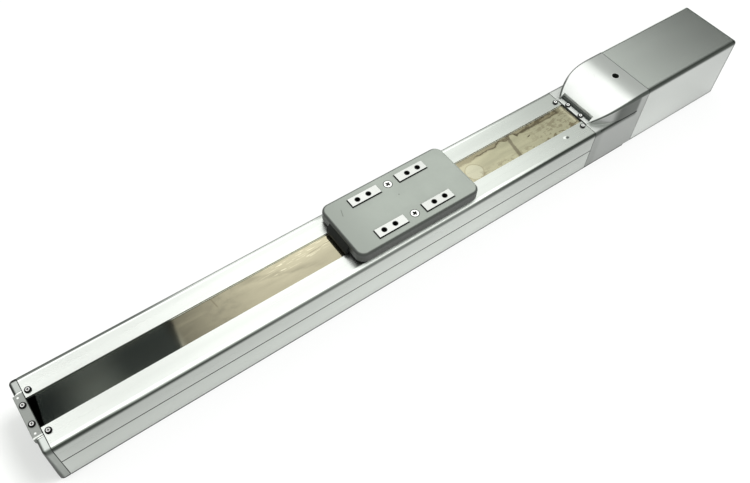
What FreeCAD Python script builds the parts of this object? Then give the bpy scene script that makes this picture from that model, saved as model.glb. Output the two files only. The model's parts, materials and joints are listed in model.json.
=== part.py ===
import FreeCAD, Part
import math
import os

from FreeCAD import Vector

# Sheet-covered electric linear actuator, slider type, with an in-line servo motor.
# Millimetres. The origin is the centre of the body's mounting face. +X runs along the
# travel towards the motor, +Y is the left side and +Z is up.

# Body profile
body_length = 714.0
body_width = 90.0
body_height = 65.0
body_edge_radius = 3.3
parting_height = 33.5
parting_chamfer = 0.9
seam_width = 0.8
seam_depth = 0.6
floor_thickness = 9.0
base_wall = 5.0
tongue_thickness = 1.4
tongue_root = 0.5
tongue_height = 4.0
side_cover_wall = 3.5

# Slot, sheet and magnets
slot_width = 36.6
sheet_recess = 2.5
sheet_thickness = 0.3
sheet_edge_gap = 0.4
sheet_end_margin = 0.8
lip_reach = 3.6
lip_root = 3.7
lip_thickness = 4.0
magnet_width = 2.6
magnet_thickness = 2.0

# Clearances
running_gap = 0.3
fit_gap = 0.1
bearing_gap = 0.08
pick_margin = 0.1

# Guide rails and blocks
rail_spacing = 51.0
rail_width = 12.0
rail_height = 8.0
rail_foot_height = 2.4
rail_head_height = 5.2
rail_neck_depth = 1.5
rail_end_gap = 3.0
ridge_width = 18.0
ridge_height = 3.0
rail_screw_pitch = 65.0
rail_screw_head_radius = 3.0
rail_screw_shank_radius = 1.75
rail_screw_head_depth = 4.0
rail_screw_sink = 0.8
rail_screw_bite = 5.0
block_length = 38.0
block_width = 27.0
block_rise = 5.0
block_skirt_gap = 2.0

# Ball screw and its bearings
screw_depth = 23.0
screw_radius = 6.0
screw_clearance = 2.0
screw_collar_rise = 1.5
journal_setback = 1.5
front_journal_radius = 4.0
rear_journal_radius = 5.0
front_block_length = 14.0
rear_block_length = 24.0
bearing_outer_radius = 14.0
bearing_width = 8.0
bearing_shoulder = 3.0
front_bearing_inset = 3.0
block_side_gap = 0.2
block_step = 1.0
retainer_radius = 17.5
retainer_thickness = 4.0
lock_nut_radius = 9.5
lock_nut_length = 7.0
lock_nut_slot = 3.0
lock_nut_slot_depth = 1.8
bumper_radius = 12.0
bumper_length = 8.0
bumper_gap = 1.0
bumper_round = 1.0
tie_bolt_radius = 2.0
tie_bolt_head_radius = 3.6
tie_bolt_head_height = 4.5
tie_bolt_sink = 1.0
tie_bolt_bite = 7.0
tie_bolt_offset = 34.5

# Front end cap and sheet clamps
cap_thickness = 10.5
cap_top_setback = 1.8
cap_foot_height = 6.7
cap_pocket_depth = 4.2
cap_corner_radius = 4.5
clamp_length = 7.5
clamp_width = 52.0
clamp_rise = 1.4
clamp_edge_radius = 1.2
clamp_nose_depth = 12.0
clamp_nose_lip = 4.0
clamp_notch_gap = 0.8
clamp_screw_spacing = 22.8

# Pan-head screws of the covers and clamps
pan_head_radius = 3.5
pan_head_height = 1.8
pan_head_round = 0.9
pan_shank_radius = 1.75
pan_shank_length = 8.0
cover_screw_inset = 4.8
cover_screw_spacing = 50.4

# Motor housing casting
housing_length = 87.0
housing_height = 92.4
housing_edge_radius = 4.5
foot_length = 74.0
foot_height = 1.9
ramp_start = 4.5
ramp_length = 72.0
ramp_start_height = 69.0
ramp_power = 2.8
flare_start_width = 57.0
flare_power = 3.6
ramp_front_radius = 1.0
crease_height = 1.4
crease_depth = 0.8
crease_drop = 0.5
crease_from_rear = 12.5
crease_end_round = 0.6
seal_thickness = 2.2
seal_rise = 4.5
seal_round = 0.8
seal_corner_radius = 3.0
front_bore_radius = 18.5
chamber_radius = 23.0
chamber_start = 23.0
bulkhead_thickness = 6.0
access_hole_radius = 4.2
access_hole_from_rear = 16.8

# Coupling
hub_radius = 17.0
hub_length = 15.0
shaft_end_gap = 1.0
jaw_count = 3
jaw_length = 7.0
jaw_inner_radius = 7.5
jaw_end_gap = 0.5
jaw_angle = 40.0
jaw_gap_angle = 2.0
hub_from_bulkhead = 1.0

# Servo motor
motor_size = 60.0
motor_corner_radius = 6.0
motor_flange_thickness = 8.0
motor_pilot_radius = 21.0
motor_pilot_depth = 3.0
motor_bolt_circle = 70.0
motor_bolt_radius = 2.3
motor_bolt_head_radius = 4.0
motor_bolt_head_height = 5.0
motor_bolt_bite = 10.0
motor_bolt_relief = 8.0
motor_body_length = 88.0
motor_body_trim = 2.0
motor_end_wall = 8.0
motor_shaft_radius = 7.0
motor_tail_radius = 4.0
rotor_radius = 16.0
rotor_gap = 0.6
rotor_end_gap = 4.0
rotor_tail_gap = 1.0
encoder_length = 34.0
encoder_size = 52.0
encoder_wall = 2.5
encoder_disc_radius = 18.0
encoder_disc_thickness = 1.5
encoder_disc_offset = 10.0

# Motor cover
motor_cover_length = 174.0
motor_cover_wall = 2.5
cover_flange_width = 8.0
bottom_plate_thickness = 2.0
rear_cap_thickness = 6.0
rear_cap_edge_radius = 4.0
small_screw_radius = 1.5
small_screw_head_radius = 2.8
small_screw_head_height = 1.6
small_screw_length = 4.0
small_screw_inset = 14.0
gland_radius = 9.0
gland_bore_radius = 5.0
gland_tip_wall = 1.5
gland_collar_radius = 11.0
gland_collar_length = 3.0
gland_length = 9.0
gland_height = 24.0

# Slider
slider_position = 81.0
slider_cover_length = 170.8
slider_cover_width = 83.2
slider_cover_height = 15.9
slider_cover_wall = 2.0
slider_skirt_gap = 3.0
slider_corner_radius = 11.0
slider_edge_radius = 3.0
slider_lift = 1.9
carriage_length = 120.0
carriage_width = 77.0
carriage_edge = 4.0
carriage_gap = 1.0
neck_length = 100.0
neck_width = 27.0
table_length = 103.0
table_width = 76.0
table_thickness = 5.2
rib_length = 160.0
rib_inner_spacing = 40.0
rib_outer_spacing = 66.0
pad_inner_end = 13.2
pad_outer_end = 52.7
pad_inner_side = 20.1
pad_outer_side = 31.8
pad_rise = 1.8
pad_window_gap = 0.3
pad_hole_side = 25.7
tapped_hole_along = 42.8
dowel_hole_along = 27.6
tapped_hole_radius = 3.0
dowel_hole_radius = 3.0
pad_hole_depth = 13.0
slider_screw_side = 25.6
slider_screw_head_radius = 4.3
slider_screw_shank_radius = 1.75
slider_screw_cone = 1.9
slider_screw_length = 9.0
table_screw_along = 36.0
table_screw_side = 8.5
table_screw_head_radius = 4.6
table_screw_radius = 2.4
table_screw_cone = 2.6
table_screw_bite = 4.8

# Ball nut
nut_radius = 12.0
nut_length = 40.0
nut_flange_radius = 19.0
nut_flange_half_height = 14.5
nut_flange_thickness = 8.0
nut_bolt_circle_radius = 15.5
nut_bolt_angle = 20.0
nut_bolt_radius = 1.6
nut_bolt_head_radius = 2.8
nut_bolt_head_height = 3.0
nut_bolt_bite = 8.0

# Sheet guides and rollers of the slider
guide_half_width = 19.0
guide_reach = 4.5
guide_depth = 3.0
guide_height = 12.0
guide_nose_height = 4.2
guide_lip_half_width = 17.3
guide_lip_length = 3.0
hold_roller_along = 75.5
hold_roller_radius = 5.5
lift_roller_along = 57.0
lift_roller_radius = 3.5
roller_half_length = 17.0
roller_pin_radius = 1.25
roller_pin_half_length = 25.0
sheet_hump_rise = 10.6
hump_foot_along = 74.0
hump_top_along = 56.0

# Home sensor and its dog
sensor_length = 16.0
sensor_half_width = 6.0
sensor_slot_half_width = 2.0
sensor_height = 10.0
sensor_base_height = 3.0
dog_half_thickness = 0.8
dog_length = 12.0
dog_from_end = 4.0
dog_drop = 11.0
rear_stop_gap = 14.0

# Mounting holes of the base
mount_hole_radius = 3.0
mount_hole_depth = 7.5
mount_row_spacing = 70.0
mount_inner_spacing = 200.0
mount_outer_spacing = 600.0

# Worked-out places along X
front_end = -body_length / 2
rear_end = body_length / 2
cap_front = front_end - cap_thickness
front_block_face = front_end + front_block_length
rear_block_face = rear_end - rear_block_length
front_bearing_end = front_block_face - front_bearing_inset
rear_bearing_start = rear_end - 2 * bearing_width
rear_stop = rear_block_face - bumper_length - rear_stop_gap
housing_end = rear_end + housing_length
bulkhead_face = housing_end - bulkhead_thickness
cover_end = housing_end + motor_cover_length
rear_cap_face = cover_end - rear_cap_thickness
motor_hub_end = bulkhead_face - hub_from_bulkhead
motor_hub_face = motor_hub_end - hub_length
screw_hub_face = motor_hub_face - jaw_length
screw_hub_end = screw_hub_face - hub_length
clamp_end = rear_end + running_gap + clamp_length
ramp_wall = clamp_end + running_gap + seal_thickness
flange_end = housing_end + motor_flange_thickness
motor_end = flange_end + motor_body_length
encoder_end = motor_end + encoder_length

# Worked-out places along Y
half_width = body_width / 2
cover_inner = half_width - side_cover_wall
base_inner = half_width - base_wall
slot_half = slot_width / 2
lip_half = slot_half - lip_reach
lip_outer = slot_half + lip_root
sheet_half = slot_half - sheet_edge_gap
rail_side = rail_spacing / 2
clamp_half = clamp_width / 2

# Worked-out heights
top_wall_under = body_height - side_cover_wall
lip_top = body_height - sheet_recess
lip_bottom = lip_top - lip_thickness
sheet_top = lip_top + sheet_thickness
ridge_top = floor_thickness + ridge_height
rail_top = ridge_top + rail_height
block_top = rail_top + block_rise
carriage_top = lip_bottom - carriage_gap
screw_height = body_height - screw_depth
tie_bolt_seat = top_wall_under - tie_bolt_head_height - tie_bolt_sink
clamp_top = body_height + clamp_rise
table_bottom = body_height + slider_lift
table_top = table_bottom + table_thickness
slider_top = table_bottom + slider_cover_height
rib_top = slider_top - slider_cover_wall
pad_top = slider_top + pad_rise
hump_top = lip_top + sheet_hump_rise
hold_roller_height = sheet_top + fit_gap + hold_roller_radius
lift_roller_height = hump_top - fit_gap - lift_roller_radius
plate_under = foot_height
plate_top = foot_height + bottom_plate_thickness


def block(x0, x1, y0, y1, z0, z1):
    """Return a box between two corners."""
    return Part.makeBox(x1 - x0, y1 - y0, z1 - z0, Vector(x0, y0, z0))


def rod_x(radius, x0, x1, y=0.0, z=screw_height):
    """Return a round bar along X."""
    return Part.makeCylinder(radius, x1 - x0, Vector(x0, y, z), Vector(1, 0, 0))


def rod_y(radius, half_length, x, z):
    """Return a round bar along Y, centred on the middle plane."""
    return Part.makeCylinder(radius, 2 * half_length, Vector(x, -half_length, z), Vector(0, 1, 0))


def rod_z(radius, x, y, z0, z1):
    """Return a round bar along Z."""
    return Part.makeCylinder(radius, z1 - z0, Vector(x, y, z0), Vector(0, 0, 1))


def cone_z(radius0, radius1, x, y, z0, z1):
    """Return a cone along Z."""
    return Part.makeCone(radius0, radius1, z1 - z0, Vector(x, y, z0), Vector(0, 0, 1))


def tube_x(outer, inner, x0, x1):
    """Return a ring about the screw's axis."""
    return rod_x(outer, x0, x1).cut(rod_x(inner, x0, x1))


def profile_x(points, x0, x1):
    """Extrude an outline of (y, z) corners along X."""
    corners = [Vector(x0, y, z) for y, z in points]
    face = Part.Face(Part.makePolygon(corners + corners[:1]))
    return face.extrude(Vector(x1 - x0, 0, 0))


def profile_y(points, half):
    """Extrude an outline of (x, z) corners along Y, to both sides of the middle plane."""
    corners = [Vector(x, -half, z) for x, z in points]
    face = Part.Face(Part.makePolygon(corners + corners[:1]))
    return face.extrude(Vector(0, 2 * half, 0))


def mirrored_y(shape):
    """Return the same piece on the other side of the middle plane."""
    return shape.mirror(Vector(0, 0, 0), Vector(0, 1, 0))


def mirrored_at_slider(shape):
    """Return the same piece at the other end of the slider."""
    return shape.mirror(Vector(slider_position, 0, 0), Vector(1, 0, 0))


def along(part):
    """Say whether a unit direction with this component runs along that axis."""
    return abs(part) > 0.9


def edges_where(shape, test):
    """Return the straight edges whose middle point and direction pass a test."""
    found = []
    for edge in shape.Edges:
        if not isinstance(edge.Curve, Part.Line):
            continue
        start = edge.Vertexes[0].Point
        end = edge.Vertexes[-1].Point
        if test((start + end) / 2, (end - start).normalize()):
            found.append(edge)
    return found


def rounded(shape, radius, test):
    """Round the straight edges that pass a test."""
    return shape.makeFillet(radius, edges_where(shape, test))


def fused(shapes):
    """Join shapes into one clean solid."""
    return shapes[0].multiFuse(shapes[1:]).removeSplitter()


def both_sides(distance):
    """Return the two places at a distance from the middle plane."""
    return (-distance, distance)


def seam_groove(x0, top, edge_radius):
    """Return the shallow groove that shows where two pieces meet, over the top and both sides."""
    x1 = x0 + seam_width
    inner_half = half_width - seam_depth
    inner = block(x0, x1, -inner_half, inner_half, -seam_depth, top - seam_depth)
    inner = rounded(inner, edge_radius - seam_depth, lambda middle, way: along(way.x)
                    and middle.z > top - seam_depth - pick_margin)
    return block(x0, x1, -body_width, body_width, -seam_depth, top).cut(inner)


def mount_places():
    """Return the (x, y) places of the base's tapped mounting holes."""
    spacings = (mount_inner_spacing, mount_outer_spacing)
    return [(x, y) for spacing in spacings for x in both_sides(spacing / 2)
            for y in both_sides(mount_row_spacing / 2)]


def rail_screw_places():
    """Return the evenly pitched X places of the screws in one rail."""
    count = int((rail_end_x() - rail_start_x() - rail_screw_pitch / 2) // rail_screw_pitch) + 1
    middle = (rail_start_x() + rail_end_x()) / 2
    first = middle - (count - 1) * rail_screw_pitch / 2
    return [first + index * rail_screw_pitch for index in range(count)]


def rail_start_x():
    """Return the rails' front end."""
    return front_block_face + rail_end_gap


def rail_end_x():
    """Return the rails' rear end."""
    return rear_block_face - rail_end_gap


def base_extrusion():
    """Channel with a flat floor, two rail ridges, and tongues that hold the side covers."""
    tongue_inner = cover_inner - fit_gap - tongue_thickness
    shape = block(front_end, rear_end, -half_width, half_width, 0, parting_height)
    inside = block(front_end, rear_end, -base_inner, base_inner, floor_thickness, parting_height)
    shape = shape.cut(inside)
    pieces = [shape]
    for side in both_sides(rail_side):
        pieces.append(block(front_end, rear_end, side - ridge_width / 2, side + ridge_width / 2,
                            floor_thickness, ridge_top))
    tongue = profile_x([(tongue_inner, parting_height - tongue_height),
                        (base_inner + tongue_root, parting_height - tongue_height),
                        (base_inner + tongue_root, parting_height),
                        (tongue_inner + tongue_thickness, parting_height),
                        (tongue_inner + tongue_thickness, parting_height + tongue_height),
                        (tongue_inner, parting_height + tongue_height)], front_end, rear_end)
    shape = fused(pieces + [tongue, mirrored_y(tongue)])
    cuts = []
    for x, y in mount_places():
        cuts.append(rod_z(mount_hole_radius, x, y, 0, mount_hole_depth))
    for x in rail_screw_places():
        for y in both_sides(rail_side):
            cuts.append(rod_z(rail_screw_shank_radius, x, y, ridge_top - rail_screw_bite, ridge_top))
    for x, y in tie_bolt_places():
        cuts.append(rod_z(tie_bolt_radius, x, y, ridge_top - tie_bolt_bite, ridge_top))
    return shape.cut(Part.makeCompound(cuts))


def side_cover_left():
    """Side and top in one profile, with the lip that carries the magnet strip."""
    outline = [(half_width, parting_height + parting_chamfer), (half_width, body_height),
               (slot_half, body_height), (slot_half, lip_top), (lip_half, lip_top),
               (lip_half, lip_bottom), (lip_outer, lip_bottom), (lip_outer, top_wall_under),
               (cover_inner, top_wall_under), (cover_inner, parting_height),
               (half_width - parting_chamfer, parting_height)]
    shape = profile_x(outline, front_end, rear_end)
    shape = rounded(shape, body_edge_radius, lambda middle, way: along(way.x)
                    and middle.y > half_width - pick_margin and middle.z > body_height - pick_margin)
    groove = magnet_strip_left()
    holes = [rod_z(pan_shank_radius, x, cover_screw_spacing / 2, top_wall_under, body_height)
             for x in cover_screw_places()]
    return shape.cut(Part.makeCompound([groove] + holes))


def magnet_strip_left():
    """Magnet strip sunk in the lip, flush with the face that the sheet lies on."""
    middle = (lip_half + slot_half) / 2
    return block(front_end, rear_end, middle - magnet_width / 2, middle + magnet_width / 2,
                 lip_top - magnet_thickness, lip_top)


def cover_screw_places():
    """Return the X places of the screws at the two ends of each side cover."""
    return (front_end + cover_screw_inset, rear_end - cover_screw_inset)


def clamp_screw_places():
    """Return the X places of the front and rear clamp screws."""
    return (cap_front + cap_thickness / 2, clamp_end - clamp_length / 2)


def sheet_ends():
    """Return the X places of the sheet's ends, just past the clamp screws."""
    front_screw, rear_screw = clamp_screw_places()
    margin = pan_shank_radius + sheet_end_margin
    return (front_screw - margin, rear_screw + margin)


def sheet_path(height):
    """Return the sheet's path in the XZ plane as edges, lifted over the slider's table."""
    front_x, rear_x = sheet_ends()
    start = Vector(front_x, 0, lip_top + height)
    end = Vector(rear_x, 0, lip_top + height)
    places = []
    for sign in (-1, 1):
        foot = Vector(slider_position + sign * hump_foot_along, 0, lip_top + height)
        crest = Vector(slider_position + sign * hump_top_along, 0, hump_top + height)
        reach = Vector(sign * (hump_foot_along - hump_top_along) / 2, 0, 0)
        slope = Part.BezierCurve()
        slope.setPoles([foot, foot - reach, crest + reach, crest])
        places.append((foot, crest, slope.toShape()))
    (front_foot, front_crest, front_slope), (rear_foot, rear_crest, rear_slope) = places
    return [Part.makeLine(start, front_foot), front_slope, Part.makeLine(front_crest, rear_crest),
            rear_slope, Part.makeLine(rear_foot, end)]


def cover_sheet():
    """Stainless sheet, clamped at both ends and lifted over the slider's table."""
    lower = Part.Wire(Part.__sortEdges__(sheet_path(0.0)))
    upper = Part.Wire(Part.__sortEdges__(sheet_path(sheet_thickness)))
    low_ends = (lower.OrderedVertexes[0].Point, lower.OrderedVertexes[-1].Point)
    high_ends = (upper.OrderedVertexes[0].Point, upper.OrderedVertexes[-1].Point)
    ends = [Part.makeLine(low, high) for low, high in zip(low_ends, high_ends)]
    outline = Part.Wire(Part.__sortEdges__(lower.Edges + upper.Edges + ends))
    face = Part.Face(outline)
    face.translate(Vector(0, -sheet_half, 0))
    holes = [rod_z(pan_shank_radius, x, y, lip_top, sheet_top) for x in clamp_screw_places()
             for y in both_sides(clamp_screw_spacing / 2)]
    return face.extrude(Vector(0, 2 * sheet_half, 0)).cut(Part.makeCompound(holes))


def guide_rail(side):
    """Rail with necked flanks and counterbored screw holes."""
    half = rail_width / 2
    neck = half - rail_neck_depth
    foot = ridge_top + rail_foot_height
    head = ridge_top + rail_head_height
    right = [(half, ridge_top), (half, foot), (neck, (foot + head) / 2), (half, head), (half, rail_top)]
    outline = [(side + y, z) for y, z in right]
    outline += [(side - y, z) for y, z in reversed(right)]
    shape = profile_x(outline, rail_start_x(), rail_end_x())
    cuts = []
    for x in rail_screw_places():
        cuts.append(rod_z(rail_screw_shank_radius, x, side, ridge_top, rail_top))
        cuts.append(rod_z(rail_screw_head_radius, x, side, rail_top - rail_screw_head_depth, rail_top))
    return shape.cut(Part.makeCompound(cuts))


def rail_screws():
    """Socket screws that hold both rails, sunk below the running face."""
    screws = []
    seat = rail_top - rail_screw_head_depth
    for side in both_sides(rail_side):
        for x in rail_screw_places():
            head = rod_z(rail_screw_head_radius, x, side, seat, rail_top - rail_screw_sink)
            shank = rod_z(rail_screw_shank_radius, x, side, ridge_top - rail_screw_bite, seat)
            screws.append(head.fuse(shank).removeSplitter())
    return Part.makeCompound(screws)


def bearing_block(x0, x1):
    """Screw support between the rails' ends, stepped under the side covers' lips."""
    half = base_inner - block_side_gap
    shoulder = lip_outer + block_side_gap
    outline = [(half, ridge_top), (half, parting_height - tongue_height - block_step),
               (half - tongue_thickness, parting_height - tongue_height),
               (half - tongue_thickness, top_wall_under), (shoulder, top_wall_under),
               (shoulder, lip_bottom)]
    outline += [(-y, z) for y, z in reversed(outline)]
    return profile_x(outline, x0, x1)


def tie_bolt_places():
    """Return the (x, y) places of the bolts that hold both bearing blocks."""
    middles = (front_end + front_block_length / 2, rear_end - rear_block_length / 2)
    return [(x, y) for x in middles for y in both_sides(tie_bolt_offset)]


def tie_bolts():
    """Bolts from the top of each bearing block down into the base."""
    bolts = []
    for x, y in tie_bolt_places():
        head = rod_z(tie_bolt_head_radius, x, y, tie_bolt_seat, tie_bolt_seat + tie_bolt_head_height)
        shank = rod_z(tie_bolt_radius, x, y, ridge_top - tie_bolt_bite, tie_bolt_seat)
        bolts.append(head.fuse(shank).removeSplitter())
    return Part.makeCompound(bolts)


def block_cuts(x0, x1, screw_x):
    """Return the bolt and cover-screw holes of one bearing block."""
    cuts = []
    for x, y in tie_bolt_places():
        if x0 < x < x1:
            cuts.append(rod_z(tie_bolt_radius, x, y, ridge_top, tie_bolt_seat))
            cuts.append(rod_z(tie_bolt_head_radius, x, y, tie_bolt_seat, top_wall_under))
    for y in both_sides(cover_screw_spacing / 2):
        cuts.append(rod_z(pan_shank_radius, screw_x, y, body_height - pan_shank_length, top_wall_under))
    return cuts


def front_bearing_block():
    """Free-end support with the seat of its bearing."""
    front_screw, rear_screw = cover_screw_places()
    seat_x = front_bearing_end - bearing_width
    cuts = block_cuts(front_end, front_block_face, front_screw)
    cuts.append(rod_x(bearing_outer_radius, seat_x, front_block_face))
    cuts.append(rod_x(bearing_outer_radius - bearing_shoulder, front_end, seat_x))
    return bearing_block(front_end, front_block_face).cut(Part.makeCompound(cuts))


def front_bearing():
    """Support bearing of the screw's free end."""
    return tube_x(bearing_outer_radius, front_journal_radius + bearing_gap,
                  front_bearing_end - bearing_width, front_bearing_end)


def rear_bearing_block():
    """Fixed-end support with a through seat for two bearings."""
    front_screw, rear_screw = cover_screw_places()
    cuts = block_cuts(rear_block_face, rear_end, rear_screw)
    cuts.append(rod_x(bearing_outer_radius, rear_bearing_start, rear_end))
    cuts.append(rod_x(bearing_outer_radius - bearing_shoulder, rear_block_face, rear_bearing_start))
    return bearing_block(rear_block_face, rear_end).cut(Part.makeCompound(cuts))


def rear_bearings():
    """Pair of thrust-carrying bearings at the screw's fixed end."""
    rings = []
    for index in range(2):
        end = rear_end - index * bearing_width
        rings.append(tube_x(bearing_outer_radius, rear_journal_radius + bearing_gap,
                            end - bearing_width, end))
    return Part.makeCompound(rings)


def bearing_retainer():
    """Ring that keeps the outer races in the rear bearing block."""
    return tube_x(retainer_radius, bearing_outer_radius - bearing_shoulder, rear_end,
                  rear_end + retainer_thickness)


def bumper(x0, x1):
    """Soft stop ring around the screw."""
    ring = tube_x(bumper_radius, screw_radius + bumper_gap, x0, x1)
    rims = [edge for edge in ring.Edges if isinstance(edge.Curve, Part.Circle)
            and edge.Curve.Radius > bumper_radius - pick_margin]
    return ring.makeFillet(bumper_round, rims)


def ball_screw():
    """Ball screw with its two turned journals."""
    thread_start = front_block_face + bearing_gap
    thread_end = rear_block_face - bearing_gap
    front = rod_x(front_journal_radius, front_end + journal_setback, thread_start)
    rear = rod_x(rear_journal_radius, thread_end, screw_hub_face - shaft_end_gap)
    collar = rod_x(screw_radius + screw_collar_rise, rear_block_face + bearing_gap,
                   rear_bearing_start - bearing_gap)
    return fused([front, rod_x(screw_radius, thread_start, thread_end), collar, rear])


def lock_nut():
    """Slotted round nut that clamps the inner races."""
    start = rear_end + bearing_gap
    ring = tube_x(lock_nut_radius, rear_journal_radius, start, start + lock_nut_length)
    slots = []
    for turn in range(4):
        slot = block(start, start + lock_nut_length, -lock_nut_slot / 2, lock_nut_slot / 2,
                     screw_height + lock_nut_radius - lock_nut_slot_depth,
                     screw_height + lock_nut_radius + lock_nut_slot_depth)
        slot.rotate(Vector(0, 0, screw_height), Vector(1, 0, 0), 90.0 * turn)
        slots.append(slot)
    return ring.cut(Part.makeCompound(slots))


def front_end_cap():
    """Cast end cap, leaning forward towards its foot, with the nose that carries the clamp."""
    lean = [(front_end, 0), (cap_front, 0), (cap_front, cap_foot_height),
            (cap_front + cap_top_setback, body_height), (front_end, body_height)]
    shape = profile_y(lean, half_width)
    shape = rounded(shape, cap_corner_radius, lambda middle, way: middle.x < front_end - cap_thickness / 2
                    and along(way.z))
    top_edges = [edge for edge in shape.Edges
                 if all(abs(vertex.Z - body_height) < pick_margin for vertex in edge.Vertexes)
                 and not all(abs(vertex.X - front_end) < pick_margin for vertex in edge.Vertexes)]
    shape = shape.makeFillet(body_edge_radius, top_edges)
    nose = profile_y([(front_end, lip_top), (cap_front, lip_top), (cap_front, lip_top - clamp_nose_lip),
                      (cap_front + cap_top_setback, lip_top - clamp_nose_depth),
                      (front_end, lip_top - clamp_nose_depth)], clamp_half)
    notch_half = clamp_half + clamp_notch_gap
    seat = block(cap_front, front_end, -notch_half, notch_half, lip_top, clamp_top)
    pocket = rod_x(bearing_outer_radius, front_end - cap_pocket_depth, front_end)
    front_screw, rear_screw = clamp_screw_places()
    holes = [rod_z(pan_shank_radius, front_screw, y, clamp_top - pan_shank_length, lip_top)
             for y in both_sides(clamp_screw_spacing / 2)]
    shape = fused([shape.cut(seat), nose])
    seam = seam_groove(front_end - seam_width, body_height, body_edge_radius)
    return shape.cut(Part.makeCompound([pocket] + holes)).cut(seam)


def sheet_clamp(x0, x1, screw_x):
    """Clamp bar over the sheet's end, with a rebate for the sheet and two screw holes."""
    shape = block(x0, x1, -clamp_half, clamp_half, lip_top, clamp_top)
    shape = rounded(shape, clamp_edge_radius, lambda middle, way: middle.z > clamp_top - pick_margin
                    or along(way.z))
    front_x, rear_x = sheet_ends()
    rebate = block(max(x0, front_x), min(x1, rear_x), -sheet_half, sheet_half, lip_top, sheet_top)
    holes = [rod_z(pan_shank_radius, screw_x, y, sheet_top, clamp_top)
             for y in both_sides(clamp_screw_spacing / 2)]
    return shape.cut(Part.makeCompound([rebate] + holes))


def front_sheet_clamp():
    """Clamp bar on the front end cap."""
    front_screw, rear_screw = clamp_screw_places()
    return sheet_clamp(cap_front, front_end - running_gap, front_screw)


def rear_sheet_clamp():
    """Clamp bar on the motor housing's front ledge."""
    front_screw, rear_screw = clamp_screw_places()
    return sheet_clamp(rear_end + running_gap, clamp_end, rear_screw)


def pan_head_screws():
    """Pan-head screws of the side covers and of both sheet clamps."""
    front_cover, rear_cover = cover_screw_places()
    front_clamp, rear_clamp = clamp_screw_places()
    places = [(x, y, body_height) for x in (front_cover, rear_cover)
              for y in both_sides(cover_screw_spacing / 2)]
    places += [(x, y, clamp_top) for x in (front_clamp, rear_clamp)
               for y in both_sides(clamp_screw_spacing / 2)]
    screws = []
    for x, y, seat in places:
        head = rod_z(pan_head_radius, x, y, seat, seat + pan_head_height)
        rim = [edge for edge in head.Edges if isinstance(edge.Curve, Part.Circle)
               and edge.Curve.Center.z > seat + pick_margin]
        head = head.makeFillet(pan_head_round, rim)
        shank = rod_z(pan_shank_radius, x, y, seat - pan_shank_length, seat)
        screws.append(head.fuse(shank).removeSplitter())
    return Part.makeCompound(screws)


def ramp_curve(count=9):
    """Return the ramp's side view as a smooth curve that levels out at the housing's height."""
    points = []
    for index in range(count):
        share = index / (count - 1)
        rise = 1.0 - (1.0 - share) ** ramp_power
        points.append(Vector(rear_end + ramp_start + share * ramp_length, 0,
                             ramp_start_height + rise * (housing_height - ramp_start_height)))
    curve = Part.BSplineCurve()
    curve.interpolate(points)
    return curve.toShape(), points[0], points[-1]


def flare_curve(count=11, crowding=1.6):
    """Return the flare's plan, which spreads from the clamp's width to the body's width."""
    points = []
    for index in range(count):
        share = (index / (count - 1)) ** crowding
        spread = 1.0 - (1.0 - share) ** flare_power
        start = flare_start_width / 2
        points.append(Vector(rear_end + ramp_start + share * ramp_length,
                             start + spread * (half_width - start), 0))
    curve = Part.BSplineCurve()
    curve.interpolate(points)
    return curve.toShape(), points[0], points[-1]


def ramp_solid():
    """Flared ramp: its plan outline and its side view meet in one moulded hump."""
    low = parting_height
    slope, slope_start, slope_end = ramp_curve()
    rear_top = Vector(housing_end, 0, housing_height)
    rear_low = Vector(housing_end, 0, low)
    front_low = Vector(slope_start.x, 0, low)
    side = Part.Wire([slope, Part.makeLine(slope_end, rear_top), Part.makeLine(rear_top, rear_low),
                      Part.makeLine(rear_low, front_low), Part.makeLine(front_low, slope_start)])
    side_face = Part.Face(side)
    side_face.translate(Vector(0, -body_width, 0))
    side_solid = side_face.extrude(Vector(0, 2 * body_width, 0))
    left, left_start, left_end = flare_curve()
    rear_left = Vector(housing_end, half_width, 0)
    rear_right = Vector(housing_end, -half_width, 0)
    right = mirrored_y(left)
    right_start = Vector(left_start.x, -left_start.y, 0)
    right_end = Vector(left_end.x, -left_end.y, 0)
    plan = Part.Wire(Part.__sortEdges__([left, Part.makeLine(left_end, rear_left),
                                         Part.makeLine(rear_left, rear_right),
                                         Part.makeLine(rear_right, right_end), right,
                                         Part.makeLine(right_start, left_start)]))
    plan_face = Part.Face(plan)
    plan_face.translate(Vector(0, 0, low))
    plan_solid = plan_face.extrude(Vector(0, 0, housing_height))
    solid = side_solid.common(plan_solid)
    return rounded_ramp(solid)


def rounded_ramp(solid):
    """Round the hump's top edges, sharper at the front than at the motor."""
    for sign in (-1, 1):
        for edge in solid.Edges:
            start = edge.Vertexes[0].Point
            end = edge.Vertexes[-1].Point
            top = min(start.z, end.z) > ramp_start_height - pick_margin
            along = abs(start.x - end.x) > ramp_length * 0.9
            if top and along and start.y * sign > 0:
                radii = (ramp_front_radius, housing_edge_radius)
                if start.x > end.x:
                    radii = (housing_edge_radius, ramp_front_radius)
                solid = solid.makeFillet(radii[0], radii[1], [edge])
                break
    return solid


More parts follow.
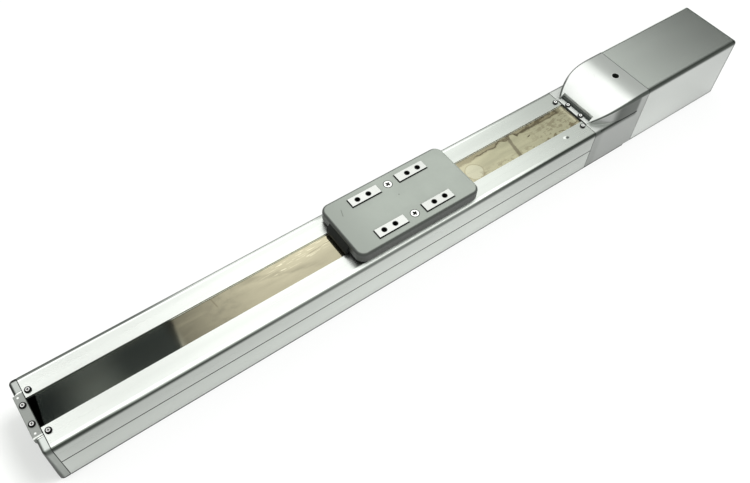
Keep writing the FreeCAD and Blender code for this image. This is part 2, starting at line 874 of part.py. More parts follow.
def motor_housing():
    """Casting that carries the motor, with its flared ramp, clamp ledge and coupling chamber."""
    lower = block(rear_end, housing_end, -half_width, half_width, 0, body_height)
    lower = rounded(lower, body_edge_radius, lambda middle, way: along(way.x)
                    and middle.z > body_height - pick_margin)
    shape = fused([lower, ramp_solid()])
    ledge = block(rear_end, ramp_wall, -clamp_half, clamp_half, lip_top, housing_height)
    step = block(rear_end + foot_length, housing_end, -half_width, half_width, 0, foot_height)
    front_screw, rear_screw = clamp_screw_places()
    cuts = [ledge, step,
            rod_x(front_bore_radius, rear_end, rear_end + chamber_start),
            rod_x(chamber_radius, rear_end + chamber_start, bulkhead_face),
            rod_x(motor_pilot_radius, bulkhead_face, housing_end),
            rod_z(access_hole_radius, housing_end - access_hole_from_rear, 0,
                  screw_height, housing_height)]
    for y in both_sides(clamp_screw_spacing / 2):
        cuts.append(rod_z(pan_shank_radius, rear_screw, y, clamp_top - pan_shank_length, lip_top))
    for y, z in motor_bolt_places():
        cuts.append(rod_x(motor_bolt_radius, housing_end - motor_bolt_bite, housing_end, y, z))
    shape = shape.cut(Part.makeCompound(cuts))
    seam = seam_groove(rear_end, body_height, body_edge_radius)
    return shape.cut(Part.makeCompound([seam] + housing_creases()))


def housing_creases():
    """Return the line that carries the body's top edge on along both sides of the housing."""
    crease_top = body_height - crease_drop
    crease_end = housing_end - crease_from_rear
    left = block(ramp_wall, crease_end, half_width - crease_depth, half_width,
                 crease_top - crease_height, crease_top)
    left = rounded(left, crease_end_round, lambda middle, way: along(way.y)
                   and middle.x > crease_end - pick_margin)
    return [left, mirrored_y(left)]


def ramp_seal():
    """Rubber strip on the ramp's front wall, behind the rear clamp."""
    shape = block(ramp_wall - seal_thickness, ramp_wall, -clamp_half, clamp_half,
                  lip_top, body_height + seal_rise)
    shape = rounded(shape, seal_corner_radius, lambda middle, way: along(way.x)
                    and middle.z > body_height)
    return rounded(shape, seal_round, lambda middle, way: along(way.y)
                   and middle.z > body_height and middle.x < ramp_wall - pick_margin)


def jaw_sector(x0, x1, turn, spread):
    """Return one jaw as a sector of a ring about the screw's axis."""
    sector = Part.makeCylinder(hub_radius, x1 - x0, Vector(x0, 0, screw_height), Vector(1, 0, 0), spread)
    sector.rotate(Vector(0, 0, screw_height), Vector(1, 0, 0), turn)
    return sector.cut(rod_x(jaw_inner_radius, x0, x1))


def coupling_hub(x0, x1, jaw_start, jaw_end, bore, first_turn):
    """Clamp hub with three jaws."""
    pitch = 360.0 / jaw_count
    jaws = [jaw_sector(jaw_start, jaw_end, first_turn + pitch * index + jaw_gap_angle / 2,
                       jaw_angle - jaw_gap_angle) for index in range(jaw_count)]
    return fused([tube_x(hub_radius, bore, x0, x1)] + jaws)


def screw_hub():
    """Coupling hub on the ball screw's end."""
    return coupling_hub(screw_hub_end, screw_hub_face, screw_hub_face, motor_hub_face - jaw_end_gap,
                        rear_journal_radius, 0.0)


def motor_hub():
    """Coupling hub on the motor's shaft, under the access hole."""
    return coupling_hub(motor_hub_face, motor_hub_end, screw_hub_face + jaw_end_gap, motor_hub_face,
                        motor_shaft_radius, 180.0 / jaw_count)


def coupling_spider():
    """Elastic star between the jaws of both hubs."""
    start = screw_hub_face + jaw_end_gap
    end = motor_hub_face - jaw_end_gap
    pitch = 180.0 / jaw_count
    arms = [jaw_sector(start, end, jaw_angle + pitch * index, pitch - jaw_angle)
            for index in range(2 * jaw_count)]
    return fused([tube_x(jaw_inner_radius, rear_journal_radius, start, end)] + arms)


def motor_square(size, x0, x1):
    """Square motor section with rounded corners, about the screw's axis."""
    half = size / 2
    shape = block(x0, x1, -half, half, screw_height - half, screw_height + half)
    return rounded(shape, motor_corner_radius, lambda middle, way: along(way.x))


def motor_bolt_places():
    """Return the (y, z) places of the motor's four bolts."""
    reach = motor_bolt_circle / 2 / math.sqrt(2)
    return [(y, screw_height + z) for y in both_sides(reach) for z in both_sides(reach)]


def motor_flange():
    """Front flange with the pilot that centres the motor."""
    shape = motor_square(motor_size, housing_end, flange_end)
    shape = fused([shape, rod_x(motor_pilot_radius, housing_end - motor_pilot_depth, housing_end)])
    cuts = [rod_x(motor_shaft_radius + bearing_gap, housing_end - motor_pilot_depth, flange_end)]
    cuts += [rod_x(motor_bolt_radius, housing_end, flange_end, y, z) for y, z in motor_bolt_places()]
    return shape.cut(Part.makeCompound(cuts))


def motor_body():
    """Stator housing with the rotor's bore, relieved at the corners for the flange bolts."""
    shape = motor_square(motor_size - motor_body_trim, flange_end, motor_end)
    inner_end = motor_end - motor_end_wall
    cuts = [rod_x(rotor_radius + rotor_gap, flange_end, inner_end),
            rod_x(motor_tail_radius + bearing_gap, inner_end, motor_end)]
    for y, z in motor_bolt_places():
        cuts.append(rod_x(motor_bolt_head_radius + running_gap, flange_end,
                          flange_end + motor_bolt_head_height + motor_bolt_relief, y, z))
    return shape.cut(Part.makeCompound(cuts))


def motor_bolts():
    """Bolts through the motor's flange into the housing."""
    bolts = []
    for y, z in motor_bolt_places():
        shank = rod_x(motor_bolt_radius, housing_end - motor_bolt_bite, flange_end, y, z)
        head = rod_x(motor_bolt_head_radius, flange_end, flange_end + motor_bolt_head_height, y, z)
        bolts.append(shank.fuse(head).removeSplitter())
    return Part.makeCompound(bolts)


def rotor_shaft():
    """Rotor with its output shaft and the tail that carries the encoder disc."""
    inner_end = motor_end - motor_end_wall
    front = rod_x(motor_shaft_radius, motor_hub_face + jaw_end_gap, flange_end)
    rotor = rod_x(rotor_radius, flange_end + rotor_end_gap, inner_end - rotor_end_gap)
    core = rod_x(motor_shaft_radius, flange_end, inner_end - rotor_tail_gap)
    tail = rod_x(motor_tail_radius, inner_end - rotor_tail_gap,
                 motor_end + encoder_disc_offset + encoder_disc_thickness)
    return fused([front, core, rotor, tail])


def encoder_disc():
    """Encoder disc on the rotor's tail."""
    start = motor_end + encoder_disc_offset
    return tube_x(encoder_disc_radius, motor_tail_radius, start, start + encoder_disc_thickness)


def encoder_cover():
    """Cup over the encoder at the motor's rear."""
    outer = motor_square(encoder_size, motor_end, encoder_end)
    inner = motor_square(encoder_size - 2 * encoder_wall, motor_end, encoder_end - encoder_wall)
    return outer.cut(inner)


def motor_cover():
    """Cover shell over the motor, open below, with inward flanges for the bottom plate."""
    outer = block(housing_end, rear_cap_face, -half_width, half_width, foot_height, housing_height)
    outer = rounded(outer, housing_edge_radius, lambda middle, way: along(way.x)
                    and middle.z > housing_height - pick_margin)
    wall = motor_cover_wall
    inner = block(housing_end, rear_cap_face, wall - half_width, half_width - wall,
                  foot_height, housing_height - wall)
    inner = rounded(inner, housing_edge_radius - wall, lambda middle, way: along(way.x)
                    and middle.z > housing_height - wall - pick_margin)
    pieces = [outer.cut(inner)]
    for side in both_sides(half_width - wall - cover_flange_width / 2):
        pieces.append(block(housing_end, rear_cap_face, side - cover_flange_width / 2,
                            side + cover_flange_width / 2, plate_top, plate_top + wall))
    shape = fused(pieces)
    holes = [rod_z(small_screw_radius, x, y, plate_top, plate_top + wall)
             for x, y in plate_screw_places()]
    seam = seam_groove(housing_end, housing_height, housing_edge_radius)
    return shape.cut(Part.makeCompound(holes)).cut(seam)


def plate_screw_places():
    """Return the (x, y) places of the screws in the motor's bottom plate."""
    side = half_width - motor_cover_wall - cover_flange_width / 2
    ends = (housing_end + small_screw_inset, rear_cap_face - small_screw_inset)
    return [(x, y) for x in ends for y in both_sides(side)]


def motor_bottom_plate():
    """Plate that closes the motor cover from below."""
    half = half_width - motor_cover_wall - fit_gap
    shape = block(housing_end, rear_cap_face, -half, half, plate_under, plate_top)
    cuts = []
    for x, y in plate_screw_places():
        cuts.append(rod_z(small_screw_radius, x, y, plate_under, plate_top))
        cuts.append(cone_z(small_screw_head_radius, small_screw_radius, x, y,
                           plate_under, plate_under + small_screw_head_height))
    return shape.cut(Part.makeCompound(cuts))


def rear_screw_places():
    """Return the (y, z) places of the screws in the rear end cap."""
    side = half_width - motor_cover_wall - cover_flange_width / 2
    return [(y, z) for y in both_sides(side)
            for z in (foot_height + small_screw_inset, housing_height - small_screw_inset)]


def small_screws():
    """Countersunk screws of the bottom plate and of the rear end cap."""
    screws = []
    for x, y in plate_screw_places():
        head = cone_z(small_screw_head_radius, small_screw_radius, x, y,
                      plate_under, plate_under + small_screw_head_height)
        shank = rod_z(small_screw_radius, x, y, plate_under + small_screw_head_height,
                      plate_under + small_screw_length)
        screws.append(head.fuse(shank).removeSplitter())
    for y, z in rear_screw_places():
        head = Part.makeCone(small_screw_head_radius, small_screw_radius, small_screw_head_height,
                             Vector(cover_end, y, z), Vector(-1, 0, 0))
        shank = rod_x(small_screw_radius, rear_cap_face - small_screw_length,
                      cover_end - small_screw_head_height, y, z)
        screws.append(head.fuse(shank).removeSplitter())
    return Part.makeCompound(screws)


def rear_end_cap():
    """End cap of the motor cover, with screw bosses inside and the gland's hole."""
    shape = block(rear_cap_face, cover_end, -half_width, half_width, foot_height, housing_height)
    shape = rounded(shape, housing_edge_radius, lambda middle, way: along(way.x)
                    and middle.z > housing_height - pick_margin)
    rim = [edge for edge in shape.Edges
           if all(abs(vertex.X - cover_end) < pick_margin for vertex in edge.Vertexes)
           and edge.CenterOfMass.z > foot_height + pick_margin]
    shape = shape.makeFillet(rear_cap_edge_radius, rim)
    inside = half_width - motor_cover_wall - fit_gap
    bosses = [block(rear_cap_face - small_screw_length, rear_cap_face,
                    min(y - small_screw_head_radius, math.copysign(inside, y)),
                    max(y + small_screw_head_radius, math.copysign(inside, y)),
                    z - small_screw_head_radius, z + small_screw_head_radius)
              for y, z in rear_screw_places()]
    shape = fused([shape] + bosses)
    cuts = [rod_x(gland_radius, rear_cap_face, cover_end, 0, gland_height)]
    for y, z in rear_screw_places():
        cuts.append(rod_x(small_screw_radius, rear_cap_face - small_screw_length, cover_end, y, z))
        cuts.append(Part.makeCone(small_screw_head_radius, small_screw_radius, small_screw_head_height,
                                  Vector(cover_end, y, z), Vector(-1, 0, 0)))
    seam = seam_groove(rear_cap_face, housing_height, housing_edge_radius)
    return shape.cut(Part.makeCompound(cuts)).cut(seam)


def cable_gland():
    """Cable inlet in the rear end cap."""
    start = rear_cap_face - gland_collar_length
    body = rod_x(gland_radius, start, cover_end, 0, gland_height)
    collar = rod_x(gland_collar_radius, cover_end, cover_end + gland_collar_length, 0, gland_height)
    nut = rod_x(gland_collar_radius, start, rear_cap_face, 0, gland_height)
    tip = Part.makeCone(gland_radius, gland_bore_radius + gland_tip_wall,
                        gland_length - gland_collar_length,
                        Vector(cover_end + gland_collar_length, 0, gland_height), Vector(1, 0, 0))
    bore = rod_x(gland_bore_radius, start, cover_end + gland_length, 0, gland_height)
    return fused([body, collar, nut, tip]).cut(bore)


def carriage():
    """Inner carriage on the four guide blocks, bored for the ball nut."""
    half = carriage_length / 2
    side = carriage_width / 2
    shape = block(slider_position - half, slider_position + half, -side, side, block_top, carriage_top)
    shape = shape.makeChamfer(carriage_edge, edges_where(
        shape, lambda middle, way: along(way.x) and middle.z > carriage_top - pick_margin))
    cuts = [rod_x(nut_radius, slider_position - half, slider_position - half + nut_length),
            rod_x(screw_radius + screw_clearance, slider_position - half, slider_position + half)]
    for x, y in table_screw_places():
        cuts.append(rod_z(table_screw_radius, x, y, carriage_top - table_screw_bite, carriage_top))
    for y, z in nut_bolt_places():
        cuts.append(rod_x(nut_bolt_radius, slider_position - half,
                          slider_position - half + nut_bolt_bite, y, z))
    return shape.cut(Part.makeCompound(cuts))


def guide_block(end, side):
    """Guide block that runs on one rail."""
    middle = slider_position + end * (carriage_length - block_length) / 2
    x0 = middle - block_length / 2
    x1 = middle + block_length / 2
    shape = block(x0, x1, side - block_width / 2, side + block_width / 2,
                  ridge_top + block_skirt_gap, block_top)
    channel = rail_width / 2 + running_gap
    groove = block(x0, x1, side - channel, side + channel, ridge_top, rail_top + running_gap)
    return shape.cut(groove)


def nut_bolt_places():
    """Return the (y, z) places of the bolts in the ball nut's flange."""
    turn = math.radians(nut_bolt_angle)
    return [(y, screw_height + z) for y in both_sides(nut_bolt_circle_radius * math.cos(turn))
            for z in both_sides(nut_bolt_circle_radius * math.sin(turn))]


def ball_nut():
    """Ball nut with a flange cut flat at the top and bottom."""
    face = slider_position - carriage_length / 2
    flange = rod_x(nut_flange_radius, face - nut_flange_thickness, face)
    trim = block(face - nut_flange_thickness, face, -nut_flange_radius, nut_flange_radius,
                 screw_height - nut_flange_half_height, screw_height + nut_flange_half_height)
    shape = fused([flange.common(trim), rod_x(nut_radius, face, face + nut_length)])
    cuts = [rod_x(screw_radius + bearing_gap, face - nut_flange_thickness, face + nut_length)]
    cuts += [rod_x(nut_bolt_radius, face - nut_flange_thickness, face, y, z) for y, z in nut_bolt_places()]
    return shape.cut(Part.makeCompound(cuts))


def nut_bolts():
    """Bolts that hold the ball nut's flange on the carriage."""
    face = slider_position - carriage_length / 2
    seat = face - nut_flange_thickness
    bolts = []
    for y, z in nut_bolt_places():
        head = rod_x(nut_bolt_head_radius, seat - nut_bolt_head_height, seat, y, z)
        shank = rod_x(nut_bolt_radius, seat, face + nut_bolt_bite, y, z)
        bolts.append(head.fuse(shank).removeSplitter())
    return Part.makeCompound(bolts)


def table_screw_places():
    """Return the (x, y) places of the screws between table and carriage."""
    return [(slider_position + x, y) for x in both_sides(table_screw_along)
            for y in both_sides(table_screw_side)]


def table_screws():
    """Countersunk screws from the table's channel into the carriage."""
    screws = []
    for x, y in table_screw_places():
        head = cone_z(table_screw_radius, table_screw_head_radius, x, y,
                      table_top - table_screw_cone, table_top)
        shank = rod_z(table_screw_radius, x, y, carriage_top - table_screw_bite,
                      table_top - table_screw_cone)
        screws.append(head.fuse(shank).removeSplitter())
    return Part.makeCompound(screws)


def pad_places():
    """Return the X and Y spans of the four raised pads."""
    spans_x = ((slider_position - pad_outer_end, slider_position - pad_inner_end),
               (slider_position + pad_inner_end, slider_position + pad_outer_end))
    spans_y = ((-pad_outer_side, -pad_inner_side), (pad_inner_side, pad_outer_side))
    return [(span_x, span_y) for span_x in spans_x for span_y in spans_y]


def pad_hole_places(along):
    """Return the (x, y) places of one set of four pad holes."""
    return [(slider_position + x, y) for x in both_sides(along) for y in both_sides(pad_hole_side)]


def slider_table():
    """Table with its neck through the slot, two ribs beside the sheet, and four raised pads."""
    half_neck = neck_length / 2
    half_table = table_length / 2
    half_rib = rib_length / 2
    pieces = [block(slider_position - half_neck, slider_position + half_neck, -neck_width / 2,
                    neck_width / 2, carriage_top, table_bottom),
              block(slider_position - half_table, slider_position + half_table, -table_width / 2,
                    table_width / 2, table_bottom, table_top)]
    for sign in (-1, 1):
        edges = sorted((sign * rib_inner_spacing / 2, sign * rib_outer_spacing / 2))
        pieces.append(block(slider_position - half_rib, slider_position + half_rib,
                            edges[0], edges[1], table_bottom, rib_top))
    for (x0, x1), (y0, y1) in pad_places():
        pieces.append(block(x0, x1, y0, y1, table_bottom, pad_top))
    shape = fused(pieces)
    cuts = []
    for along, radius in ((tapped_hole_along, tapped_hole_radius), (dowel_hole_along, dowel_hole_radius)):
        for x, y in pad_hole_places(along):
            cuts.append(rod_z(radius, x, y, pad_top - pad_hole_depth, pad_top))
    for x, y in table_screw_places():
        cuts.append(rod_z(table_screw_radius, x, y, carriage_top, table_top))
        cuts.append(cone_z(table_screw_radius, table_screw_head_radius, x, y,
                           table_top - table_screw_cone, table_top))
    for y in both_sides(slider_screw_side):
        cuts.append(rod_z(slider_screw_shank_radius, slider_position, y,
                          slider_top - slider_screw_length, rib_top))
    for x, z in roller_places():
        cuts.append(rod_y(roller_pin_radius, roller_pin_half_length, x, z))
    return shape.cut(Part.makeCompound(cuts))


def rounded_slab(length, width, radius, z0, z1):
    """Return a slab about the slider's middle with rounded corners in plan."""
    shape = block(slider_position - length / 2, slider_position + length / 2,
                  -width / 2, width / 2, z0, z1)
    return rounded(shape, radius, lambda middle, way: along(way.z))


def top_rim(shape, height):
    """Return the edges of a slab's upper rim."""
    return [edge for edge in shape.Edges
            if all(abs(vertex.Z - height) < pick_margin for vertex in edge.Vertexes)]


def slider_cover():
    """Moulded shell over the table, with windows for the pads and mouths for the sheet."""
    skirt = table_bottom + slider_skirt_gap
    outer = rounded_slab(slider_cover_length, slider_cover_width, slider_corner_radius,
                         skirt, slider_top)
    outer = outer.makeFillet(slider_edge_radius, top_rim(outer, slider_top))
    inner = rounded_slab(slider_cover_length - 2 * slider_cover_wall,
                         slider_cover_width - 2 * slider_cover_wall,
                         slider_corner_radius - slider_cover_wall, skirt, rib_top)
    inner = inner.makeFillet(slider_edge_radius - slider_cover_wall, top_rim(inner, rib_top))
    cuts = [inner]
    for (x0, x1), (y0, y1) in pad_places():
        cuts.append(block(x0 - pad_window_gap, x1 + pad_window_gap, y0 - pad_window_gap,
                          y1 + pad_window_gap, rib_top, slider_top))
    for y in both_sides(slider_screw_side):
        cuts.append(rod_z(slider_screw_shank_radius, slider_position, y, rib_top, slider_top))
        cuts.append(cone_z(slider_screw_shank_radius, slider_screw_head_radius, slider_position, y,
                           slider_top - slider_screw_cone, slider_top))
    mouth = slider_cover_length / 2
    cuts.append(block(slider_position - mouth, slider_position + mouth, -guide_half_width,
                      guide_half_width, table_bottom, table_bottom + guide_height))
    return outer.cut(Part.makeCompound(cuts))


def slider_cover_screws():
    """Countersunk screws that hold the slider cover."""
    screws = []
    for y in both_sides(slider_screw_side):
        head = cone_z(slider_screw_shank_radius, slider_screw_head_radius, slider_position, y,
                      slider_top - slider_screw_cone, slider_top)
        shank = rod_z(slider_screw_shank_radius, slider_position, y,
                      slider_top - slider_screw_length, slider_top - slider_screw_cone)
        screws.append(head.fuse(shank).removeSplitter())
    return Part.makeCompound(screws)


def sheet_guide_front():
    """Black guide in the slider's mouth, with a lip that wipes the sheet."""
    face = slider_position - slider_cover_length / 2
    top = table_bottom + guide_height
    wedge = profile_y([(face - guide_reach, table_bottom), (face + guide_depth, table_bottom),
                       (face + guide_depth, top), (face, top),
                       (face - guide_reach, table_bottom + guide_nose_height)], guide_half_width)
    lip = block(face, face + guide_lip_length, -guide_lip_half_width, guide_lip_half_width,
                sheet_top + running_gap, table_bottom)
    return fused([wedge, lip])


def roller_places():
    """Return the (x, z) axes of the hold-down and lift rollers."""
    places = []
    for sign in (-1, 1):
        places.append((slider_position + sign * hold_roller_along, hold_roller_height))
        places.append((slider_position + sign * lift_roller_along, lift_roller_height))
    return places


def roller(radius, x, z):
    """Roller that turns on its pin."""
    return rod_y(radius, roller_half_length, x, z).cut(
        rod_y(roller_pin_radius + bearing_gap, roller_half_length, x, z))


def roller_pins():
    """Pins of the four sheet rollers, held in the table's ribs."""
    return Part.makeCompound([rod_y(roller_pin_radius, roller_pin_half_length, x, z)
                              for x, z in roller_places()])


def dog_middle():
    """Return the X place of the sensor dog on the carriage."""
    return slider_position + carriage_length / 2 - dog_from_end - dog_length / 2


def sensor_dog():
    """Thin flag under the carriage that enters the home sensor's slot."""
    middle = dog_middle()
    return block(middle - dog_length / 2, middle + dog_length / 2, -dog_half_thickness,
                 dog_half_thickness, block_top - dog_drop, block_top)


def home_sensor():
    """Slotted sensor on the floor, where the dog stands at the rear end of the stroke."""
    middle = rear_stop - dog_from_end - dog_length / 2
    x0 = middle - sensor_length / 2
    x1 = middle + sensor_length / 2
    shape = block(x0, x1, -sensor_half_width, sensor_half_width,
                  floor_thickness, floor_thickness + sensor_height)
    slot = block(x0, x1, -sensor_slot_half_width, sensor_slot_half_width,
                 floor_thickness + sensor_base_height, floor_thickness + sensor_height)
    return shape.cut(slot)


def all_parts():
    """Return every node's name and shape."""
    cover_left = side_cover_left()
    magnet_left = magnet_strip_left()
    guide_front = sheet_guide_front()
    (front_hold, front_lift, rear_hold, rear_lift) = roller_places()
    return {
        "base_extrusion": base_extrusion(),
        "side_cover_left": cover_left,
        "side_cover_right": mirrored_y(cover_left),
        "magnet_strip_left": magnet_left,
        "magnet_strip_right": mirrored_y(magnet_left),
        "cover_sheet": cover_sheet(),
        "guide_rail_left": guide_rail(rail_side),
        "guide_rail_right": guide_rail(-rail_side),
        "rail_screws": rail_screws(),
        "front_bearing_block": front_bearing_block(),
        "front_bearing": front_bearing(),
        "rear_bearing_block": rear_bearing_block(),
        "rear_bearings": rear_bearings(),
        "bearing_retainer": bearing_retainer(),
        "tie_bolts": tie_bolts(),
        "front_bumper": bumper(front_block_face, front_block_face + bumper_length),
        "rear_bumper": bumper(rear_block_face - bumper_length, rear_block_face),
        "front_end_cap": front_end_cap(),
        "front_sheet_clamp": front_sheet_clamp(),
        "rear_sheet_clamp": rear_sheet_clamp(),
        "pan_head_screws": pan_head_screws(),
        "motor_housing": motor_housing(),
        "ramp_seal": ramp_seal(),
        "home_sensor": home_sensor(),
        "motor_flange": motor_flange(),
        "motor_body": motor_body(),
        "motor_bolts": motor_bolts(),
        "encoder_cover": encoder_cover(),
        "motor_cover": motor_cover(),
        "motor_bottom_plate": motor_bottom_plate(),
        "rear_end_cap": rear_end_cap(),
        "small_screws": small_screws(),
        "cable_gland": cable_gland(),
        "ball_screw": ball_screw(),
        "lock_nut": lock_nut(),
        "screw_hub": screw_hub(),
        "coupling_spider": coupling_spider(),
        "motor_hub": motor_hub(),
        "rotor_shaft": rotor_shaft(),
        "encoder_disc": encoder_disc(),
        "carriage": carriage(),
        "guide_block_front_left": guide_block(-1, rail_side),
        "guide_block_front_right": guide_block(-1, -rail_side),
        "guide_block_rear_left": guide_block(1, rail_side),
        "guide_block_rear_right": guide_block(1, -rail_side),
        "ball_nut": ball_nut(),
        "nut_bolts": nut_bolts(),
        "slider_table": slider_table(),
        "table_screws": table_screws(),
        "slider_cover": slider_cover(),
        "slider_cover_screws": slider_cover_screws(),
        "sheet_guide_front": guide_front,
        "sheet_guide_rear": mirrored_at_slider(guide_front),
        "roller_pins": roller_pins(),
        "hold_roller_front": roller(hold_roller_radius, *front_hold),
        "hold_roller_rear": roller(hold_roller_radius, *rear_hold),
        "lift_roller_front": roller(lift_roller_radius, *front_lift),
        "lift_roller_rear": roller(lift_roller_radius, *rear_lift),
        "sensor_dog": sensor_dog(),
    }


def main():
    """Write one STEP file per node."""
    os.makedirs("parts", exist_ok=True)
    for name, shape in all_parts().items():
        shape.exportStep("parts/" + name + ".step")


main()
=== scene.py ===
import json
import math

import bmesh
import bpy
from mathutils import Matrix, Vector


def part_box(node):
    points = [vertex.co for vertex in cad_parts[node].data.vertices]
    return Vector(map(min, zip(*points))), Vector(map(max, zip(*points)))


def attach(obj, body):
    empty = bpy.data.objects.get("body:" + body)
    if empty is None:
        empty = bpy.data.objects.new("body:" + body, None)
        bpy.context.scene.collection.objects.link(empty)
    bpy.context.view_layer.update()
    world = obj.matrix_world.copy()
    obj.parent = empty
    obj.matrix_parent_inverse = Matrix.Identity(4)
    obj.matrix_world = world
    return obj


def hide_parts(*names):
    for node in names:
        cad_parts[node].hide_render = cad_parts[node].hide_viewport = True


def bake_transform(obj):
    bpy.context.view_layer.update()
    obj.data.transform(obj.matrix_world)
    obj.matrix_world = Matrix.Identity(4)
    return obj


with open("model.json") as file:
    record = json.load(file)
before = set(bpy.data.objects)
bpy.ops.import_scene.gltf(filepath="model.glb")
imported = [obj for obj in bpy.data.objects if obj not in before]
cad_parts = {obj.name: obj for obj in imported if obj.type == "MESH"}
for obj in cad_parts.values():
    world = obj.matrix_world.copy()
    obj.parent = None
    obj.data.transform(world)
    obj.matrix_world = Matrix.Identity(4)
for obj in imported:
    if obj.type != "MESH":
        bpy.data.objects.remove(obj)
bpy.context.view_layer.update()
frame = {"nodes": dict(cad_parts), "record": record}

bl_info = {
    "name": "Slider actuator",
    "version": (1, 0, 0),
    "blender": (4, 5, 0),
    "location": "View3D > Sidebar > Actuator",
    "description": "Finishes, screws, cover sheet and studio of an electric slider actuator",
    "category": "Object",
}

# Directions: x runs from the front cap to the motor, z is the height
UP = (0.0, 0.0, 1.0)
DOWN = (0.0, 0.0, -1.0)
REARWARD = (1.0, 0.0, 0.0)
SIDES = (-1.0, 1.0)

# Places and sizes on the actuator in metres
BODY_HALF_WIDTH = 0.045
BODY_TOP = 0.065
CLAMP_TOP = 0.0664
CAP_SEAM = -0.3578
HOUSING_SEAM = 0.3570
HOUSING_TOP = 0.0924
COVER_SEAM = 0.4440
RAMP_START = 0.3615
RAMP_LENGTH = 0.072
RAMP_RISE = 0.0234
RAMP_FLARE = 0.0165
ACCESS_HOLE = 0.4272
MOTOR_AXIS = 0.042
SHEET_FRONT_END = -0.3600
SHEET_REAR_END = 0.3588
SLIDER_CENTRE = 0.081
SLIDER_TOP = 0.0829
SLIDER_SCREW_SIDE = 0.0256

# The slider's pads, measured from its middle, in metres
PAD_ENDS = (0.0132, 0.0527)
PAD_SIDES = (0.0201, 0.0318)
PAD_GAP = 0.0011
PAD_HOLE_SIDE = 0.0257
PAD_HOLE_OUTER = 0.0428
PAD_HOLE_INNER = 0.0276

# Screws: the centre of the seat in metres, then the way the head faces
PAN_SCREWS = (
    [((x, side * 0.0252, BODY_TOP), UP) for x in (-0.3522, 0.3522) for side in SIDES]
    + [((x, side * 0.0114, CLAMP_TOP), UP) for x in (-0.36225, 0.36105) for side in SIDES]
)
SMALL_SCREWS = (
    [((x, side * 0.0385, 0.0019), DOWN) for x in (0.458, 0.598) for side in SIDES]
    + [((0.618, side * 0.0385, z), REARWARD) for z in (0.0159, 0.0784) for side in SIDES]
)
SLIDER_SCREWS = [((SLIDER_CENTRE, side * SLIDER_SCREW_SIDE, SLIDER_TOP), UP) for side in SIDES]

# Inputs of the screw's node tree, in the order of the sizes that are given to it
SCREW_SIZES = (
    "Head Radius",
    "Head Height",
    "Head Round",
    "Cone Depth",
    "Shank Radius",
    "Shank Length",
    "Recess Width",
    "Recess Length",
    "Recess Depth",
)

# The last four of those sizes in metres, for each kind of screw
PAN_SHANK = (0.008, 0.0010, 0.0037, 0.0011)
SMALL_SHANK = (0.006, 0.0007, 0.0028, 0.0010)
SLIDER_SHANK = (0.009, 0.0026, 0.0080, 0.0014)

# Dark parts of a head, in shares of its radius: where the rim starts, and a cross arm's half sizes
PAN_RIM = 0.54
PAN_CROSS = (0.15, 0.52)
SUNK_RIM = 0.90
SUNK_CROSS = (0.26, 0.74)

# Soft steps in metres: where a mask starts and where it is full
SIDE_FACE = (0.0442, 0.0449)
OUTER_FACE = (0.0440, 0.0448)
# Painted contact shadow along the bottom edges
FOOT_SHADOW = (0.0024, 0.0015)
SHEET_REAR = (0.160, 0.185)

# A soft step on noise that parts it into light and dark clouds
CLOUDS = (0.3, 0.7)

# Seams between pieces, painted dark as grime and shade: width and softness in metres
SEAM_WIDTH = 0.0008
SEAM_SOFT = 0.0001

# Colours of grime and painted shade, painted reflections and highlights, and what lies on the sheet
BLACK = (0.0, 0.0, 0.0)
# Painted dark reflection on rounded upper edges
DARK_EDGE_REFLECTION = (0.045, 0.052, 0.045)
# Grime in joints, painted shade in grooves, holes and creases, painted dark reflection on the cap's
# edges, painted contact shadow along the foot
JOINT_DIRT_AND_SHADE = (0.020, 0.023, 0.020)
# Painted shade in holes and on the pads' sides
HOLE_DARK = (0.006, 0.006, 0.006)
# Painted highlight
PAINTED_HIGHLIGHT = (0.97, 0.98, 0.96)
# Painted light on the slot's walls
PAINTED_WALL_LIGHT = (0.95, 0.95, 0.92)
# Painted highlights on the castings
CAST_HIGHLIGHT = (0.90, 0.91, 0.89)
# Painted light on the front cap's top
CAST_TOP_LIGHT = (0.62, 0.65, 0.63)
SHEET_BARE = (0.365, 0.392, 0.335)
SHEET_SMUDGE = (0.155, 0.145, 0.105)
SHEET_GLEAM = (0.76, 0.72, 0.54)
SHEET_RING = (0.50, 0.485, 0.38)
# Painted dark reflection at the sheet's front end
SHEET_END_REFLECTION = (0.006, 0.007, 0.006)

# Shape of the sheet's halves: steps along each stretch, and how far the flat one lifts in metres
FLAT_STEPS = 72
SLOPE_STEPS = 18
CREST_STEPS = 8
FLAT_LIFT = 0.00004

# Stage: places in metres, the way to the lamp, and the camera's sensor in millimetres
FLOOR_LEVEL = -0.0003
CARD_HEIGHT = 1.5
CARD_CORNERS = ((-0.52, 0.775), (-0.0462, 0.775), (-0.0202, 0.92), (-0.52, 0.92))
LAMP_WAY = (0.48, -0.10, 0.87)
CAMERA_PLACE = (-0.2907, -0.4201, 0.7754)
SENSOR_WIDTH = 36.0

# Colours of the stage's light
WHITE = (1.0, 1.0, 1.0)
CARD_GLOW = (0.036, 0.043, 0.046)
ROOM_DARK = (0.020, 0.022, 0.020)
ROOM_LIGHT = (0.955, 1.0, 0.945)
ROOM_BRIGHTEST = (1.0, 1.0, 0.99)


